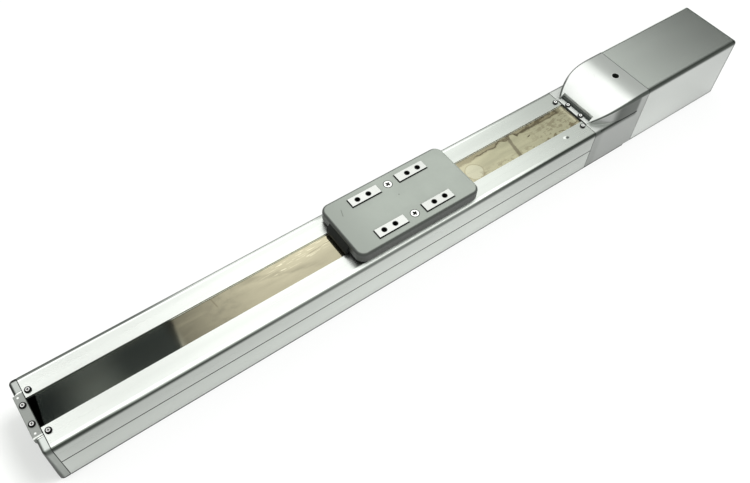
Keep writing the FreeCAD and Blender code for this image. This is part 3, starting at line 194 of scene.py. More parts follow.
class Wire:
    """A node's socket that takes part in Python sums."""

    def __init__(self, tree, socket=None):
        self.tree = tree
        self.socket = socket

    def add(self, kind, settings=None, sockets=None, output=0):
        """Adds a node, sets it up, then gives its inputs their values or links."""
        node = self.tree.nodes.new(kind)
        for name, value in (settings or {}).items():
            if name == "items":
                while len(node.index_switch_items) < value:
                    node.index_switch_items.new()
            else:
                setattr(node, name, value)
        for name, value in (sockets or {}).items():
            target = self.pick(node.inputs, name)
            for single in value if isinstance(value, list) else [value]:
                if isinstance(single, Wire):
                    self.tree.links.new(single.socket, target)
                else:
                    target.default_value = single
        if len(node.outputs) == 0:
            return None
        return Wire(self.tree, self.pick(node.outputs, output))

    @staticmethod
    def pick(sockets, key):
        """The socket with that number, identifier or name."""
        if isinstance(key, int):
            return sockets[key]
        for socket in sockets:
            if socket.identifier == key:
                return socket
        return sockets[key]

    def out(self, name):
        """Another output of the same node."""
        return Wire(self.tree, self.pick(self.socket.node.outputs, name))

    def maths(self, operation, first, *others):
        """A Math node on values and numbers."""
        sockets = dict(enumerate((first, *others)))
        return self.add("ShaderNodeMath", {"operation": operation}, sockets)

    def __add__(self, other):
        return self.maths("ADD", self, other)

    def __radd__(self, other):
        return self.maths("ADD", other, self)

    def __sub__(self, other):
        return self.maths("SUBTRACT", self, other)

    def __rsub__(self, other):
        return self.maths("SUBTRACT", other, self)

    def __mul__(self, other):
        return self.maths("MULTIPLY", self, other)

    def __rmul__(self, other):
        return self.maths("MULTIPLY", other, self)

    def __truediv__(self, other):
        return self.maths("DIVIDE", self, other)

    def __rtruediv__(self, other):
        return self.maths("DIVIDE", other, self)

    def __abs__(self):
        return self.maths("ABSOLUTE", self)

    def least(self, other):
        """The smaller of two values."""
        return self.maths("MINIMUM", self, other)

    def most(self, *others):
        """The largest of this and other values."""
        largest = self
        for other in others:
            largest = self.maths("MAXIMUM", largest, other)
        return largest

    def smooth(self, low, high, at_low=0.0, at_high=1.0):
        """A soft step from one value at low to another at high."""
        sockets = {"Value": self, 1: low, 2: high, 3: at_low, 4: at_high}
        return self.add("ShaderNodeMapRange", {"interpolation_type": "SMOOTHSTEP"}, sockets)

    def parts(self):
        """The three parts of a vector."""
        split = self.add("ShaderNodeSeparateXYZ", {}, {0: self})
        return split, split.out(1), split.out(2)

    def paint(self, low, high):
        """A colour between two colours, by this value."""
        colours = {"Factor_Float": self, "A_Color": wide(low), "B_Color": wide(high)}
        return self.add("ShaderNodeMix", {"data_type": "RGBA"}, colours, "Result_Color")

    def noise(self, scale, stretch=(1.0, 1.0, 1.0), detail=2.0, shift=(0.0, 0.0, 0.0)):
        """Noise over this place, stretched by a share along each axis."""
        mapping = {"Vector": self, "Location": shift, "Scale": stretch}
        turned = self.add("ShaderNodeMapping", {}, mapping)
        sockets = {"Vector": turned, "Scale": scale, "Detail": detail}
        return self.add("ShaderNodeTexNoise", {}, sockets, "Fac")

    def bump(self, strength, depth=0.0002):
        """A normal bumped by this height, down to a depth in metres."""
        sockets = {"Height": self, "Strength": strength, "Distance": depth}
        return self.add("ShaderNodeBump", {}, sockets, "Normal")


def wide(colour):
    """A colour with its fourth number, or a wire as it is."""
    if isinstance(colour, Wire):
        return colour
    return (*tuple(colour)[:3], 1.0)


def shade(colour, factor):
    """A colour made lighter or darker."""
    return tuple(part * factor for part in tuple(colour)[:3])


def graded(mask, colour, low, high):
    """A colour that goes from one shade of itself to another with a mask."""
    return mask.paint(shade(colour, low), shade(colour, high))


def coats(base, *marks):
    """A colour with marks painted over it in order, each a mask and a colour."""
    for mask, colour in marks:
        base = mask.paint(base, colour)
    return base


def colour_of(name, description, default):
    """A colour that a user may change."""
    return bpy.props.FloatVectorProperty(
        name=name,
        description=description,
        subtype="COLOR",
        size=3,
        min=0.0,
        max=1.0,
        default=default,
    )


def length_of(name, description, default):
    """A length that a user may change."""
    return bpy.props.FloatProperty(
        name=name, description=description, unit="LENGTH", precision=5, min=0.0, default=default
    )


def level_of(name, description, default):
    """A plain number that a user may change."""
    return bpy.props.FloatProperty(name=name, description=description, min=0.0, default=default)


def angle_of(name, description, default):
    """An angle that a user may change, given in degrees."""
    return bpy.props.FloatProperty(
        name=name, description=description, subtype="ANGLE", default=math.radians(default)
    )


class ActuatorFinishes(bpy.types.PropertyGroup):
    """Colours of the actuator's surfaces."""

    extrusion: colour_of("Extrusion", "Satin anodised body and side covers", (0.645, 0.668, 0.640))
    pads: colour_of("Pads", "Milled table and pads of the slider", (0.60, 0.61, 0.59))
    casting: colour_of("Castings", "Silver motor housing and rear clamp", (0.70, 0.715, 0.70))
    cap: colour_of("End cap", "Dull casting of the end cap and front clamp", (0.226, 0.235, 0.224))
    motor_cover: colour_of("Motor cover", "Silver paint of the motor cover", (0.72, 0.74, 0.72))
    slider: colour_of("Slider", "Satin grey of the slider's cover", (0.281, 0.303, 0.276))
    sheet: colour_of("Sheet", "Polished cover sheet with its oily film", (0.368, 0.343, 0.243))
    stain: colour_of("Stain", "Dried oil on the cover sheet", (0.13, 0.105, 0.06))
    steel: colour_of("Steel", "Ground steel of the moving parts and screws", (0.62, 0.62, 0.61))
    plastic: colour_of("Plastic", "Black mouldings", (0.013, 0.014, 0.013))
    rubber: colour_of("Rubber", "Black rubber and magnet strips", (0.010, 0.010, 0.010))
    seal: colour_of("Seal", "Grey rubber of the seal below the ramp", (0.050, 0.058, 0.053))
    bumper: colour_of("Bumpers", "Urethane stops at both ends of the stroke", (0.35, 0.20, 0.08))
    spider: colour_of("Spider", "Urethane star of the coupling", (0.55, 0.06, 0.05))
    motor: colour_of("Motor", "Black paint of the motor", (0.045, 0.045, 0.05))
    glass: colour_of("Encoder disc", "Etched glass of the encoder", (0.70, 0.77, 0.79))


class ActuatorScrews(bpy.types.PropertyGroup):
    """Sizes of the screws that show."""

    pan_radius: length_of("Pan head radius", "Radius of a cover screw's head", 0.0035)
    pan_height: length_of("Pan head height", "Height of a cover screw's head", 0.0018)
    pan_round: length_of("Pan head round", "Rounding of a cover screw's head", 0.0009)
    slider_radius: length_of("Slider screw radius", "Radius of a slider screw's head", 0.0050)
    slider_cone: length_of("Slider screw cone", "Depth of a slider screw's cone", 0.0019)
    small_radius: length_of("Small screw radius", "Radius of a motor cover screw's head", 0.0028)
    small_cone: length_of("Small screw cone", "Depth of a motor cover screw's cone", 0.0016)
    shank_radius: length_of("Shank radius", "Radius of the cover and slider screws", 0.00175)
    small_shank_radius: length_of("Small shank radius", "Radius of the motor cover screws", 0.0015)


class ActuatorSheet(bpy.types.PropertyGroup):
    """Shape of the cover sheet."""

    half_width: length_of("Half width", "Half the sheet's width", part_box("cover_sheet")[1].y)
    thickness: length_of("Thickness", "Thickness of the sheet", 0.0003)
    lie: length_of("Height", "Height of the face that the sheet lies on", 0.0625)
    rise: length_of("Hump", "How far the slider lifts the sheet", 0.0106)
    foot: length_of("Hump foot", "Half the length of the hump at its foot", 0.074)
    crest: length_of("Hump crest", "Half the length of the hump at its top", 0.056)


class ActuatorStage(bpy.types.PropertyGroup):
    """Floor, light and camera."""

    floor: colour_of("Floor", "Pale floor", (0.76, 0.76, 0.76))
    floor_size: length_of("Floor size", "Side of the floor", 12.0)
    sky: level_of("Overhead light", "Brightness straight above", 1.71)
    lamp: level_of("Lamp", "Strength of the soft lamp beyond the motor", 1.95)
    lamp_angle: angle_of("Lamp angle", "How wide the soft lamp looks from the object", 24.0)
    azimuth: angle_of("Azimuth", "Turn of the camera about the upright axis", -38.77)
    elevation: angle_of("Elevation", "Height of the camera above the horizon", 54.29)
    roll: angle_of("Roll", "Turn of the camera about its own axis", 3.5)
    lens: bpy.props.FloatProperty(
        name="Lens", description="Focal length of the camera", unit="CAMERA", default=37.508
    )


def bare_tree(owner):
    """The emptied node tree of a material or a world, ready for new nodes."""
    owner.use_nodes = True
    owner.node_tree.nodes.clear()
    return Wire(owner.node_tree)


def start_surface(name):
    """A new material, and the Object coordinates that its patterns read."""
    material = bpy.data.materials.new(name)
    return material, bare_tree(material).add("ShaderNodeTexCoord", output="Object")


def end_surface(place, sockets):
    """Joins a Principled shader with these sockets to the material's output."""
    shader = place.add("ShaderNodeBsdfPrincipled", {}, sockets, "BSDF")
    place.add("ShaderNodeOutputMaterial", {}, {"Surface": shader})


def band(value, low, high, soft):
    """A mask that is 1 between two values."""
    return value.smooth(low - soft, low + soft) * value.smooth(high + soft, high - soft)


def long_edge(y, z, half_width, top, radius):
    """A mask on the rounding of a lengthwise upper edge, fading down its side."""
    outer = abs(y).smooth(half_width - radius * 0.95, half_width - radius * 0.25)
    return outer * z.smooth(top - radius * 2.20, top - radius * 0.75)


def distance(*parts):
    """How far a point is from a centre, from its parts along each axis."""
    total = parts[0] * parts[0]
    for part in parts[1:]:
        total = total + part * part
    return total.maths("SQRT", total)


def seams(x, *places):
    """A mask on the grooves between pieces, by their places along the actuator."""
    grooves = [band(x, start, start + SEAM_WIDTH, SEAM_SOFT) for start in places]
    return grooves[0].most(*grooves[1:])


def body_dirt_and_shade(x, y, z):
    """Masks on the body's grime and painted shade, and on the painted light on the rest of the
    slot's walls.
    """
    slot_wall = abs(y).smooth(0.0186, 0.0182) * band(z, 0.0600, BODY_TOP, 0.0002)
    # Painted shade on the slot's walls in front of the slider
    wall_shade = slot_wall * x.smooth(-0.200, -0.208)
    # Painted shade in the parting groove
    parting = band(z, 0.0329, 0.0345, 0.0002)
    # Painted contact shadow along the bottom edges
    foot = z.smooth(*FOOT_SHADOW) * abs(y).smooth(*OUTER_FACE)
    # Painted shade of a small dent, with nick_light's painted highlight beside it
    nick = distance(x - 0.3222, (y + 0.0287) * 1.3).smooth(0.0030, 0.0018)
    return wall_shade.most(parting, foot, nick * 0.9), slot_wall - wall_shade


def body_edges(x, y, z):
    """Masks on the body's upper edges painted dark as a reflection, on the rims inside them painted
    light, and on the painted glint of the near edge.
    """
    ends = x.smooth(0.00, -0.22).most(x.smooth(0.13, 0.30))
    front_shift = x.smooth(-0.33, -0.26) * 0.0009
    rear_shift = x.smooth(0.14, 0.19) * 0.0009 + x.smooth(0.19, 0.31) * 0.0008
    from_middle = abs(y) - (front_shift - rear_shift) * y.smooth(0.01, -0.01)
    edge = long_edge(from_middle, z, BODY_HALF_WIDTH, BODY_TOP, 0.0036) * (0.80 + ends * 0.18)
    far_edge = y.smooth(0.0398, 0.0410) * z.smooth(0.0605, 0.0625)
    far_edge = far_edge * x.smooth(-0.13, -0.24, 0.35, 0.96)
    upper = z.smooth(0.0620, 0.0640)
    # Painted light: a pale, less metallic strip inside the upper edges
    rim = band(abs(y), 0.0390, 0.0422, 0.0006) * upper * x.smooth(0.30, 0.18)
    glint = band(y, -0.0433, -0.0416, 0.0005) * upper * band(x, -0.28, 0.19, 0.03)
    return edge.most(far_edge * 0.98), rim, glint


def extrusion_finish(name, colour):
    """Satin anodised aluminium with lengthwise die lines and grime, with painted shade, light,
    highlights and dark reflections.
    """
    material, place = start_surface(name)
    x, y, z = place.parts()
    lines = place.noise(1.0, (7.0, 1500.0, 1500.0), 3.0)
    bands = place.noise(1.0, (2.0, 75.0, 75.0), 2.0, (3.0, 1.0, 5.0))
    smudge = place.noise(22.0, (0.5, 1.0, 1.0), 4.0)
    specks = place.noise(230.0, (0.6, 1.0, 1.0), 2.0, (4.0, 1.0, 2.0)).smooth(0.73, 0.80)
    dirt_and_shade, lit_wall = body_dirt_and_shade(x, y, z)
    edge, rim, glint = body_edges(x, y, z)
    nick_light = distance(x - 0.3195, (y + 0.0272) * 1.4).smooth(0.0034, 0.0022)
    # Painted shade: the sides darker towards both ends and lighter towards the bottom
    side_shade_along = x.smooth(0.10, -0.34).most(x.smooth(0.15, 0.32) * 0.90)
    low = z.smooth(0.060, 0.008)
    side = side_shade_along.paint(graded(low, colour, 0.88, 1.07), graded(low, colour, 0.66, 0.86))
    tone = coats(
        graded(bands.smooth(0.25, 0.75), colour, 0.95, 1.03),
        (x.smooth(0.20, 0.36), shade(colour, 0.82)),
        (nick_light, PAINTED_HIGHLIGHT),
        (abs(y).smooth(*SIDE_FACE), side),
        ((smudge.smooth(0.52, 0.80) * 0.14).most(specks * 0.25), shade(colour, 0.70)),
        # Painted light on the rims and the glint, painted dark reflection on the edges, painted
        # light on the slot's walls, then grime and painted shade
        (rim, shade(colour, 1.25)),
        (glint, PAINTED_HIGHLIGHT),
        (edge, DARK_EDGE_REFLECTION),
        (lit_wall, PAINTED_WALL_LIGHT),
        (dirt_and_shade, JOINT_DIRT_AND_SHADE),
    )
    end_surface(place, {
        "Base Color": tone,
        "Metallic": 1.0 - dirt_and_shade * 0.6 - rim * 0.9,
        "Roughness": 0.22 + lines * 0.08 + smudge * 0.06 + dirt_and_shade * 0.3,
        "Normal": lines.bump(0.06),
    })
    return material


def pad_finish(name, colour):
    """Milled aluminium of the slider's table and pads, with painted shade in the screw holes and on
    the pads' sides.
    """
    material, place = start_surface(name)
    x, y, z = place.parts()
    milled = place.noise(1.0, (420.0, 2600.0, 300.0), 2.0)
    cloud = place.noise(60.0, detail=3.0)
    across = abs(y) - PAD_HOLE_SIDE
    along = abs(x - SLIDER_CENTRE)
    outer_hole = distance(along - PAD_HOLE_OUTER, across)
    inner_hole = distance(along - PAD_HOLE_INNER, across)
    holes = outer_hole.least(inner_hole).smooth(0.00370, 0.00335)
    # Painted shade on the pads' sides and in the screw holes
    dark = z.smooth(0.08455, 0.0844).most(holes * 0.85)
    tone = graded(cloud.smooth(*CLOUDS), colour, 0.98, 1.02)
    end_surface(place, {
        "Base Color": dark.paint(tone, HOLE_DARK),
        "Metallic": 1.0 - dark * 0.6,
        "Roughness": 0.22 + milled * 0.10 + dark * 0.3,
        "Normal": milled.bump(0.05),
    })
    return material


def ramp_masks(x, y, z):
    """Masks on the rounded upper edges of the motor housing's ramp, painted dark as a reflection,
    and on the walls below them, painted to the sides' tone.
    """
    share = ((x - RAMP_START) / RAMP_LENGTH).most(0.0).least(1.0)
    rest = 1.0 - share
    top = HOUSING_TOP - rest.maths("POWER", rest, 2.8) * RAMP_RISE
    half_width = BODY_HALF_WIDTH - rest.maths("POWER", rest, 3.6) * RAMP_FLARE
    radius = 0.0016 + share * 0.0029
    behind_seal = x.smooth(0.3605, 0.3625)
    outer = ((abs(y) - half_width) / radius).smooth(-1.0, -0.55) * behind_seal
    drop = (z - top) / radius
    far_foot = ((y - half_width) / 0.0034).smooth(-1.0, -0.70) * behind_seal
    far_foot = far_foot * share.smooth(0.42, 0.20) * z.smooth(0.0655, 0.0665)
    edge = (outer * drop.smooth(-1.25, -0.75)).most(far_foot)
    return edge, outer * drop.smooth(-1.0, -1.4) * z.smooth(0.0652, 0.0660)


def cap_masks(x, y, z):
    """Masks on the front cap and its clamp: edges with painted shade and dark reflection, painted
    light on the cap's top, and painted highlights on notches and dimples.
    """
    on_cap = x.smooth(-0.3560, -0.3570)
    # Painted shade and dark reflection on the cap's front edge, corners, front face and far edge
    front = x.smooth(-0.3622, -0.3642) * z.smooth(0.0575, 0.0605)
    front = front * abs(y).smooth(0.0270, 0.0274) * y.smooth(-0.01, 0.01, 0.75, 1.0)
    corner = x.smooth(-0.3622, -0.3650) * abs(y).smooth(0.0405, 0.0430) * 0.75
    face = x.smooth(-0.3650, -0.3658) * z.smooth(0.0600, 0.0580) * 0.6
    far = y.smooth(0.0402, 0.0416) * z.smooth(0.0600, 0.0620) * on_cap
    # Painted light on the cap's top beside the clamp, stronger on the near side
    cap_top_light = on_cap * abs(y).smooth(0.0276, 0.0290) * z.smooth(0.0640, 0.0648)
    cap_top_light = cap_top_light * y.smooth(-0.01, 0.01, 0.75, 0.40)
    # Painted highlights on the notch steps and the dimples
    notch = band(abs(y), 0.0252, 0.0276, 0.0003) * z.smooth(0.0638, 0.0644) * on_cap
    dimple = distance(x + 0.3633, abs(y) - 0.0217).smooth(0.0014, 0.0008)
    dimple = dimple * z.smooth(0.0660, 0.0663)
    return front.most(corner, face, far), cap_top_light, notch.most(dimple * 0.7)


def casting_dirt_and_shade(x, y, z):
    """Masks on the castings' grime and painted shade in seams, holes and creases, with a painted
    contact shadow, and on the painted highlight round the access hole.
    """
    joints = seams(x, CAP_SEAM, HOUSING_SEAM)
    reach = distance(x - ACCESS_HOLE, y)
    # Painted shade in and round the access hole
    hole = reach.smooth(0.00470, 0.00450) * z.smooth(0.0800, 0.0810)
    # Painted shade on the rear clamp's front face
    clamp_face = band(x, HOUSING_SEAM, 0.3576, 0.0001) * band(z, 0.0620, 0.0658, 0.0003)
    # Painted shade in the crease on the housing's side
    crease = band(z, 0.0627, 0.0648, 0.0002) * band(x, 0.366, 0.4318, 0.0004)
    crease = crease * abs(y).smooth(0.0430, 0.0436)
    # Painted highlight on the chamfer round the access hole
    hole_highlight = band(reach, 0.0047, 0.0053, 0.0002) * z.smooth(0.0915, 0.0922) * 0.5
    # With a painted contact shadow along the bottom edges
    return joints.most(hole, clamp_face, crease, z.smooth(*FOOT_SHADOW)), hole_highlight


def casting_finish(name, colour, side_tone, metal):
    """Silver casting with a fine grain, sides painted darker or lighter by side_tone for how light
    falls, grime and painted shade in its joints, and painted highlights.
    """
    material, place = start_surface(name)
    x, y, z = place.parts()
    grain = place.noise(1700.0, detail=3.0)
    cloud = place.noise(24.0, detail=4.0)
    dust = place.noise(260.0, detail=2.0, shift=(2.0, 7.0, 1.0)).smooth(0.68, 0.80)
    edge, wall = ramp_masks(x, y, z)
    cap_edges, cap_top_light, bright = cap_masks(x, y, z)
    dirt_and_shade, hole_highlight = casting_dirt_and_shade(x, y, z)
    # Painted dark reflection on the housing's shoulder
    shoulder = long_edge(y, z, BODY_HALF_WIDTH, BODY_TOP, 0.0043) * x.smooth(0.434, 0.428)
    tone = coats(
        graded(cloud.smooth(*CLOUDS), colour, 0.93, 1.04),
        # Painted shade on the housing's top behind the ramp
        (x.smooth(0.408, 0.424), shade(colour, 0.76)),
        (dust * 0.3, shade(colour, 0.55)),
        # Sides and ramp walls painted darker or lighter by side_tone, for how light falls on them
        (abs(y).smooth(0.0440, 0.0449).most(wall), shade(colour, side_tone)),
        # Painted light on the cap's top, painted highlights, then painted dark reflection and shade
        # on the edges
        (cap_top_light, CAST_TOP_LIGHT),
        (hole_highlight.most(bright), CAST_HIGHLIGHT),
        (shoulder.most(edge) * 0.90, DARK_EDGE_REFLECTION),
        (cap_edges * 0.97, JOINT_DIRT_AND_SHADE),
        (dirt_and_shade, JOINT_DIRT_AND_SHADE),
    )
    below_ramp = x.smooth(0.376, 0.366)
    end_surface(place, {
        "Base Color": tone,
        "Metallic": metal - dirt_and_shade * metal + cap_edges * (1.0 - metal),
        "Roughness": 0.24 + grain * 0.07 + cloud * 0.05 + dirt_and_shade * 0.3 + below_ramp * 0.2,
        "Normal": grain.bump(0.05),
    })
    return material


def painted_finish(name, colour):
    """Satin silver paint on sheet metal, with a faint orange peel, grime and painted shade in its
    joints, painted shade on its sides and painted dark reflections on its edges.
    """
    material, place = start_surface(name)
    x, y, z = place.parts()
    peel = place.noise(420.0, detail=1.0)
    cloud = place.noise(12.0, (0.4, 1.0, 1.0), 3.0)
    brushed = place.noise(1.0, (9.0, 900.0, 900.0), 3.0)
    # Painted contact shadow along the bottom edges
    foot = z.smooth(0.0044, 0.0034) * abs(y).smooth(*OUTER_FACE) * 0.8
    dirt_and_shade = seams(x, COVER_SEAM).most(foot)
    # Painted shade on the sides: lighter towards the bottom, darker towards the rear
    low = z.smooth(0.085, 0.005)
    front_side = graded(low, colour, 0.74, 0.90)
    rear_side = graded(low, colour, 0.57, 0.70)
    # Painted dark reflection on the rear and near upper edges and the rear corners
    rear = x.smooth(0.6128, 0.6146) * z.smooth(0.0850, 0.0880) * 0.6
    rear_corner = x.smooth(0.6126, 0.6146) * abs(y).smooth(0.0400, 0.0430) * 0.75
    near = y.smooth(-0.0384, -0.0424) * z.smooth(0.0850, 0.0900) * 0.94
    tone = coats(
        graded(cloud.smooth(*CLOUDS), colour, 0.96, 1.03),
        (abs(y).smooth(*SIDE_FACE), x.smooth(0.47, 0.61).paint(front_side, rear_side)),
        (near.most(rear, rear_corner), DARK_EDGE_REFLECTION),
        (dirt_and_shade, JOINT_DIRT_AND_SHADE),
    )
    end_surface(place, {
        "Base Color": tone,
        "Metallic": 1.0 - dirt_and_shade * 0.8,
        "Roughness": 0.13 + peel * 0.03 + brushed * 0.04 + dirt_and_shade * 0.3,
        "Normal": (peel * 0.5 + brushed * 0.5).bump(0.012),
    })
    return material


def pad_area(along, across, margin, soft):
    """A mask on the slider's four pads, grown by a margin."""
    lengthwise = band(along, PAD_ENDS[0] - margin, PAD_ENDS[1] + margin, soft)
    return lengthwise * band(across, PAD_SIDES[0] - margin, PAD_SIDES[1] + margin, soft)


def slider_finish(name, colour):
    """Satin grey moulding with a fine grain, a scratch and scuffs, and painted shade on its sides,
    its front and in the gaps round the pads and screws.
    """
    material, place = start_surface(name)
    x, y, z = place.parts()
    grain = place.noise(2600.0, detail=2.0)
    cloud = place.noise(30.0, detail=3.0)
    scuff = place.noise(1.0, (160.0, 1400.0, 900.0), 2.0).smooth(0.72, 0.80)
    scratch_side = y - 0.0204
    scratch = band(scratch_side, -0.0045, 0.0045, 0.001)
    scratch = scratch * abs(x - 0.0134 - scratch_side * 0.35).smooth(0.0006, 0.0003)
    speck = distance(x - 0.0826, y - 0.0063).smooth(0.0011, 0.0007)
    along = abs(x - SLIDER_CENTRE)
    across = abs(y)
    corner = distance((along - 0.0744).most(0.0), (across - 0.0306).most(0.0))
    rear = x.smooth(0.1570, 0.1610) * y.smooth(-0.0360, -0.0300)
    # Painted shade on the sides, less at the rear end, and on the front face
    sides = corner.smooth(0.0075, 0.0095) * (1.0 - rear * 0.8)
    front = x.smooth(-0.0015, -0.0035)
    # Painted shade in the gaps round the pads and the screws
    around_pads = pad_area(along, across, PAD_GAP, 0.0002)
    pad_gap = around_pads * (1.0 - pad_area(along, across, 0.0, 0.00005))
    screw_gap = distance(x - SLIDER_CENTRE, across - SLIDER_SCREW_SIDE).smooth(0.0060, 0.0054)
    # More painted shade low on the sides
    lower = sides * z.smooth(0.0790, 0.0700)
    tone = coats(
        graded(cloud.smooth(*CLOUDS), colour, 0.96, 1.04),
        # The top darker towards the front
        (x.smooth(0.055, -0.005), shade(colour, 0.83)),
        (scuff * 0.15, shade(colour, 1.3)),
        (scratch.most(speck * 0.7), shade(colour, 0.45)),
        (pad_gap.most(screw_gap) * 0.92, shade(colour, 0.06)),
        ((sides * 0.93).most(front * 0.95), shade(colour, 0.09)),
        (lower * 0.6, shade(colour, 0.08)),
    )
    end_surface(place, {
        "Base Color": tone,
        "Roughness": 0.38 + grain * 0.12,
        "Specular IOR Level": 0.45,
        "Normal": grain.bump(0.12),
    })
    return material


def sheet_noises(place):
    """The patterns that the sheet's film, wipe marks and stains are made of."""
    return {
        "film": place.noise(26.0, (0.6, 1.5, 1.0), 4.0, (5.0, 2.0, 0.0)),
        "wisps": place.noise(1.0, (14.0, 120.0, 1.0), 4.0, (2.0, 6.0, 0.0)),
        "dashes": place.noise(1.0, (62.0, 820.0, 1.0), 2.0, (1.0, 9.0, 0.0)),
        "ragged": place.noise(95.0, (1.0, 1.2, 1.0), 5.0, (3.0, 3.0, 0.0)) - 0.5,
        "mottle": place.noise(110.0, (0.8, 1.2, 1.0), 5.0, (8.0, 4.0, 0.0)),
        "flecks": place.noise(1.0, (170.0, 330.0, 1.0), 4.0, (2.0, 5.0, 0.0)),
    }


def wipe_coats(x, y, noises, colour, stain):
    """Coats in front of the slider: bare front end, wipe marks, streaks, dashes and fine lines."""
    wisps = noises["wisps"]
    pale = band(x, -0.070, 0.060, 0.030) * y.smooth(-0.006, 0.014) * 0.7
    dim = x.smooth(-0.100, -0.215) * x.smooth(-0.218, -0.200)
    smudge = noises["mottle"].smooth(0.40, 0.72) * band(x, -0.196, -0.135, 0.020)
    streak_way = y - 0.0140 + (x + 0.114) * 0.29 + noises["ragged"] * 0.006
    streak = abs(streak_way).smooth(0.0055, 0.0015) * band(x, -0.120, -0.036, 0.010)
    streak = streak * wisps.smooth(0.35, 0.62)
    near_slider = x.smooth(-0.110, -0.075) * x.smooth(0.080, 0.070)
    dashes = noises["dashes"].smooth(0.58, 0.66) * near_slider * y.smooth(0.000, 0.004)
    line = abs(y - 0.0098 - x * 0.06).smooth(0.0005, 0.0002) * band(x, -0.040, -0.006, 0.003)
    crease = abs(x + 0.157 + (y - 0.012) * 0.12).smooth(0.0012, 0.0003)
    crease = crease * band(y, 0.004, 0.017, 0.003)
    return (
        (pale, shade(colour, 1.25)),
        (x.smooth(-0.196, -0.216), SHEET_BARE),
        (dim, shade(colour, 0.26)),
        (wisps.smooth(0.46, 0.80) * 0.42, shade(colour, 0.66)),
        (smudge * 0.55, SHEET_SMUDGE),
        (streak * 0.42, shade(colour, 0.45)),
        (dashes * 0.60, SHEET_GLEAM),
        ((line * 0.55).most(crease * 0.4), shade(stain, 0.7)),
    )


def stain_coats(x, y, noises, stain):
    """Coats of dried oil behind the slider, and a mask on where they dull the sheet."""
    mottle, ragged = noises["mottle"], noises["ragged"]
    rear = x.smooth(*SHEET_REAR)
    ring_reach = distance(x - 0.190, y + 0.005) + ragged * 0.002
    ring = band(ring_reach, 0.0114, 0.0124, 0.0005)
    inside = ring_reach.smooth(0.0118, 0.0104)
    bulges = band(x, 0.2630, 0.2710, 0.0020) * 0.0060 + band(x, 0.238, 0.252, 0.004) * 0.0030
    far_way = y + ragged * 0.009 - bulges
    far_zone = rear * x.smooth(0.349, 0.342)
    far_film = far_way.smooth(0.0090, 0.0116) * far_zone
    far_line = band(far_way, 0.0112, 0.0128, 0.0005) * far_zone * x.smooth(0.195, 0.215)
    crust = far_film * mottle.smooth(0.47, 0.56) * x.smooth(0.22, 0.27)
    blot_zone = x.smooth(0.262, 0.320) * 0.66 + y.smooth(-0.006, -0.014) * 0.5
    blots = (mottle * 0.5 + noises["flecks"] * 0.5).smooth(0.49, 0.56) * rear * blot_zone
    bar = abs(x - 0.2575 - y * 0.20 + ragged * 0.004).smooth(0.0030, 0.0014)
    fleck_along = x - 0.2850
    fleck = distance(fleck_along * 0.35, y - 0.0020 - fleck_along * 0.2).smooth(0.0012, 0.0007)
    oil = (far_line * 0.9).most(bar * 0.66, fleck * 0.9)
    marks = (
        (inside * 0.5, SHEET_RING),
        (ring * 0.35, shade(stain, 1.3)),
        (far_film * x.smooth(0.27, 0.31, 0.55, 0.70), shade(stain, 1.25)),
        (crust * 0.82, shade(stain, 0.42)),
        (blots * 0.80, shade(stain, 1.15)),
        (oil, shade(stain, 0.65)),
    )
    return marks, oil.most(far_film * 0.4, blots * 0.5)


def sheet_finish(name, colour, stain):
    """Polished stainless sheet with an oily film, wipe marks and dried stains."""
    material, place = start_surface(name)
    x, y = place.parts()[:2]
    noises = sheet_noises(place)
    film, wisps = noises["film"], noises["wisps"]
    stains, dull = stain_coats(x, y, noises, stain)
    near_line = y.smooth(-0.0169, -0.0175)
    # Painted dark reflection on the first millimetres behind the front clamp
    front_reflection = (x - y * 0.13 + noises["ragged"] * 0.0015).smooth(-0.3503, -0.3518)
    tone = coats(
        x.smooth(*SHEET_REAR).paint(colour, shade(colour, 1.20)),
        (film.smooth(0.30, 0.72) * 0.17, BLACK),
        *wipe_coats(x, y, noises, colour, stain),
        *stains,
        (near_line * 0.45, shade(stain, 0.8)),
        (front_reflection, SHEET_END_REFLECTION),
    )
    haze = band(x, -0.318, -0.276, 0.018) * 0.085 + x.smooth(-0.347, -0.325) * 0.025
    haze = haze * y.smooth(0.022, -0.012, 0.7, 1.2)
    clouded = x.smooth(0.3500, 0.3540) * 0.55
    end_surface(place, {
        "Base Color": tone,
        "Metallic": 1.0 - haze - dull * 0.4 - clouded,
        "Roughness": 0.030 + wisps * 0.03 + dull * 0.30,
        "Normal": (film * 0.7 + wisps * 0.3).bump(0.012, 0.0004),
    })
    return material


def steel_finish(name, colour):
    """Ground steel with fine marks across and a thin oil film."""
    material, place = start_surface(name)
    marks = place.noise(1.0, (1800.0, 260.0, 260.0), 2.0)
    film = place.noise(60.0, detail=3.0)
    end_surface(place, {
        "Base Color": graded(film.smooth(0.35, 0.7), colour, 0.85, 1.05),
        "Metallic": 1.0,
        "Roughness": 0.20 + marks * 0.10 + film * 0.06,
        "Normal": marks.bump(0.04),
    })
    return material


def cross_arm(across, along, width, length):
    """A mask on one arm of a screw's cross recess, in shares of the head's radius."""
    return abs(across).smooth(width + 0.03, width) * abs(along).smooth(length + 0.04, length)


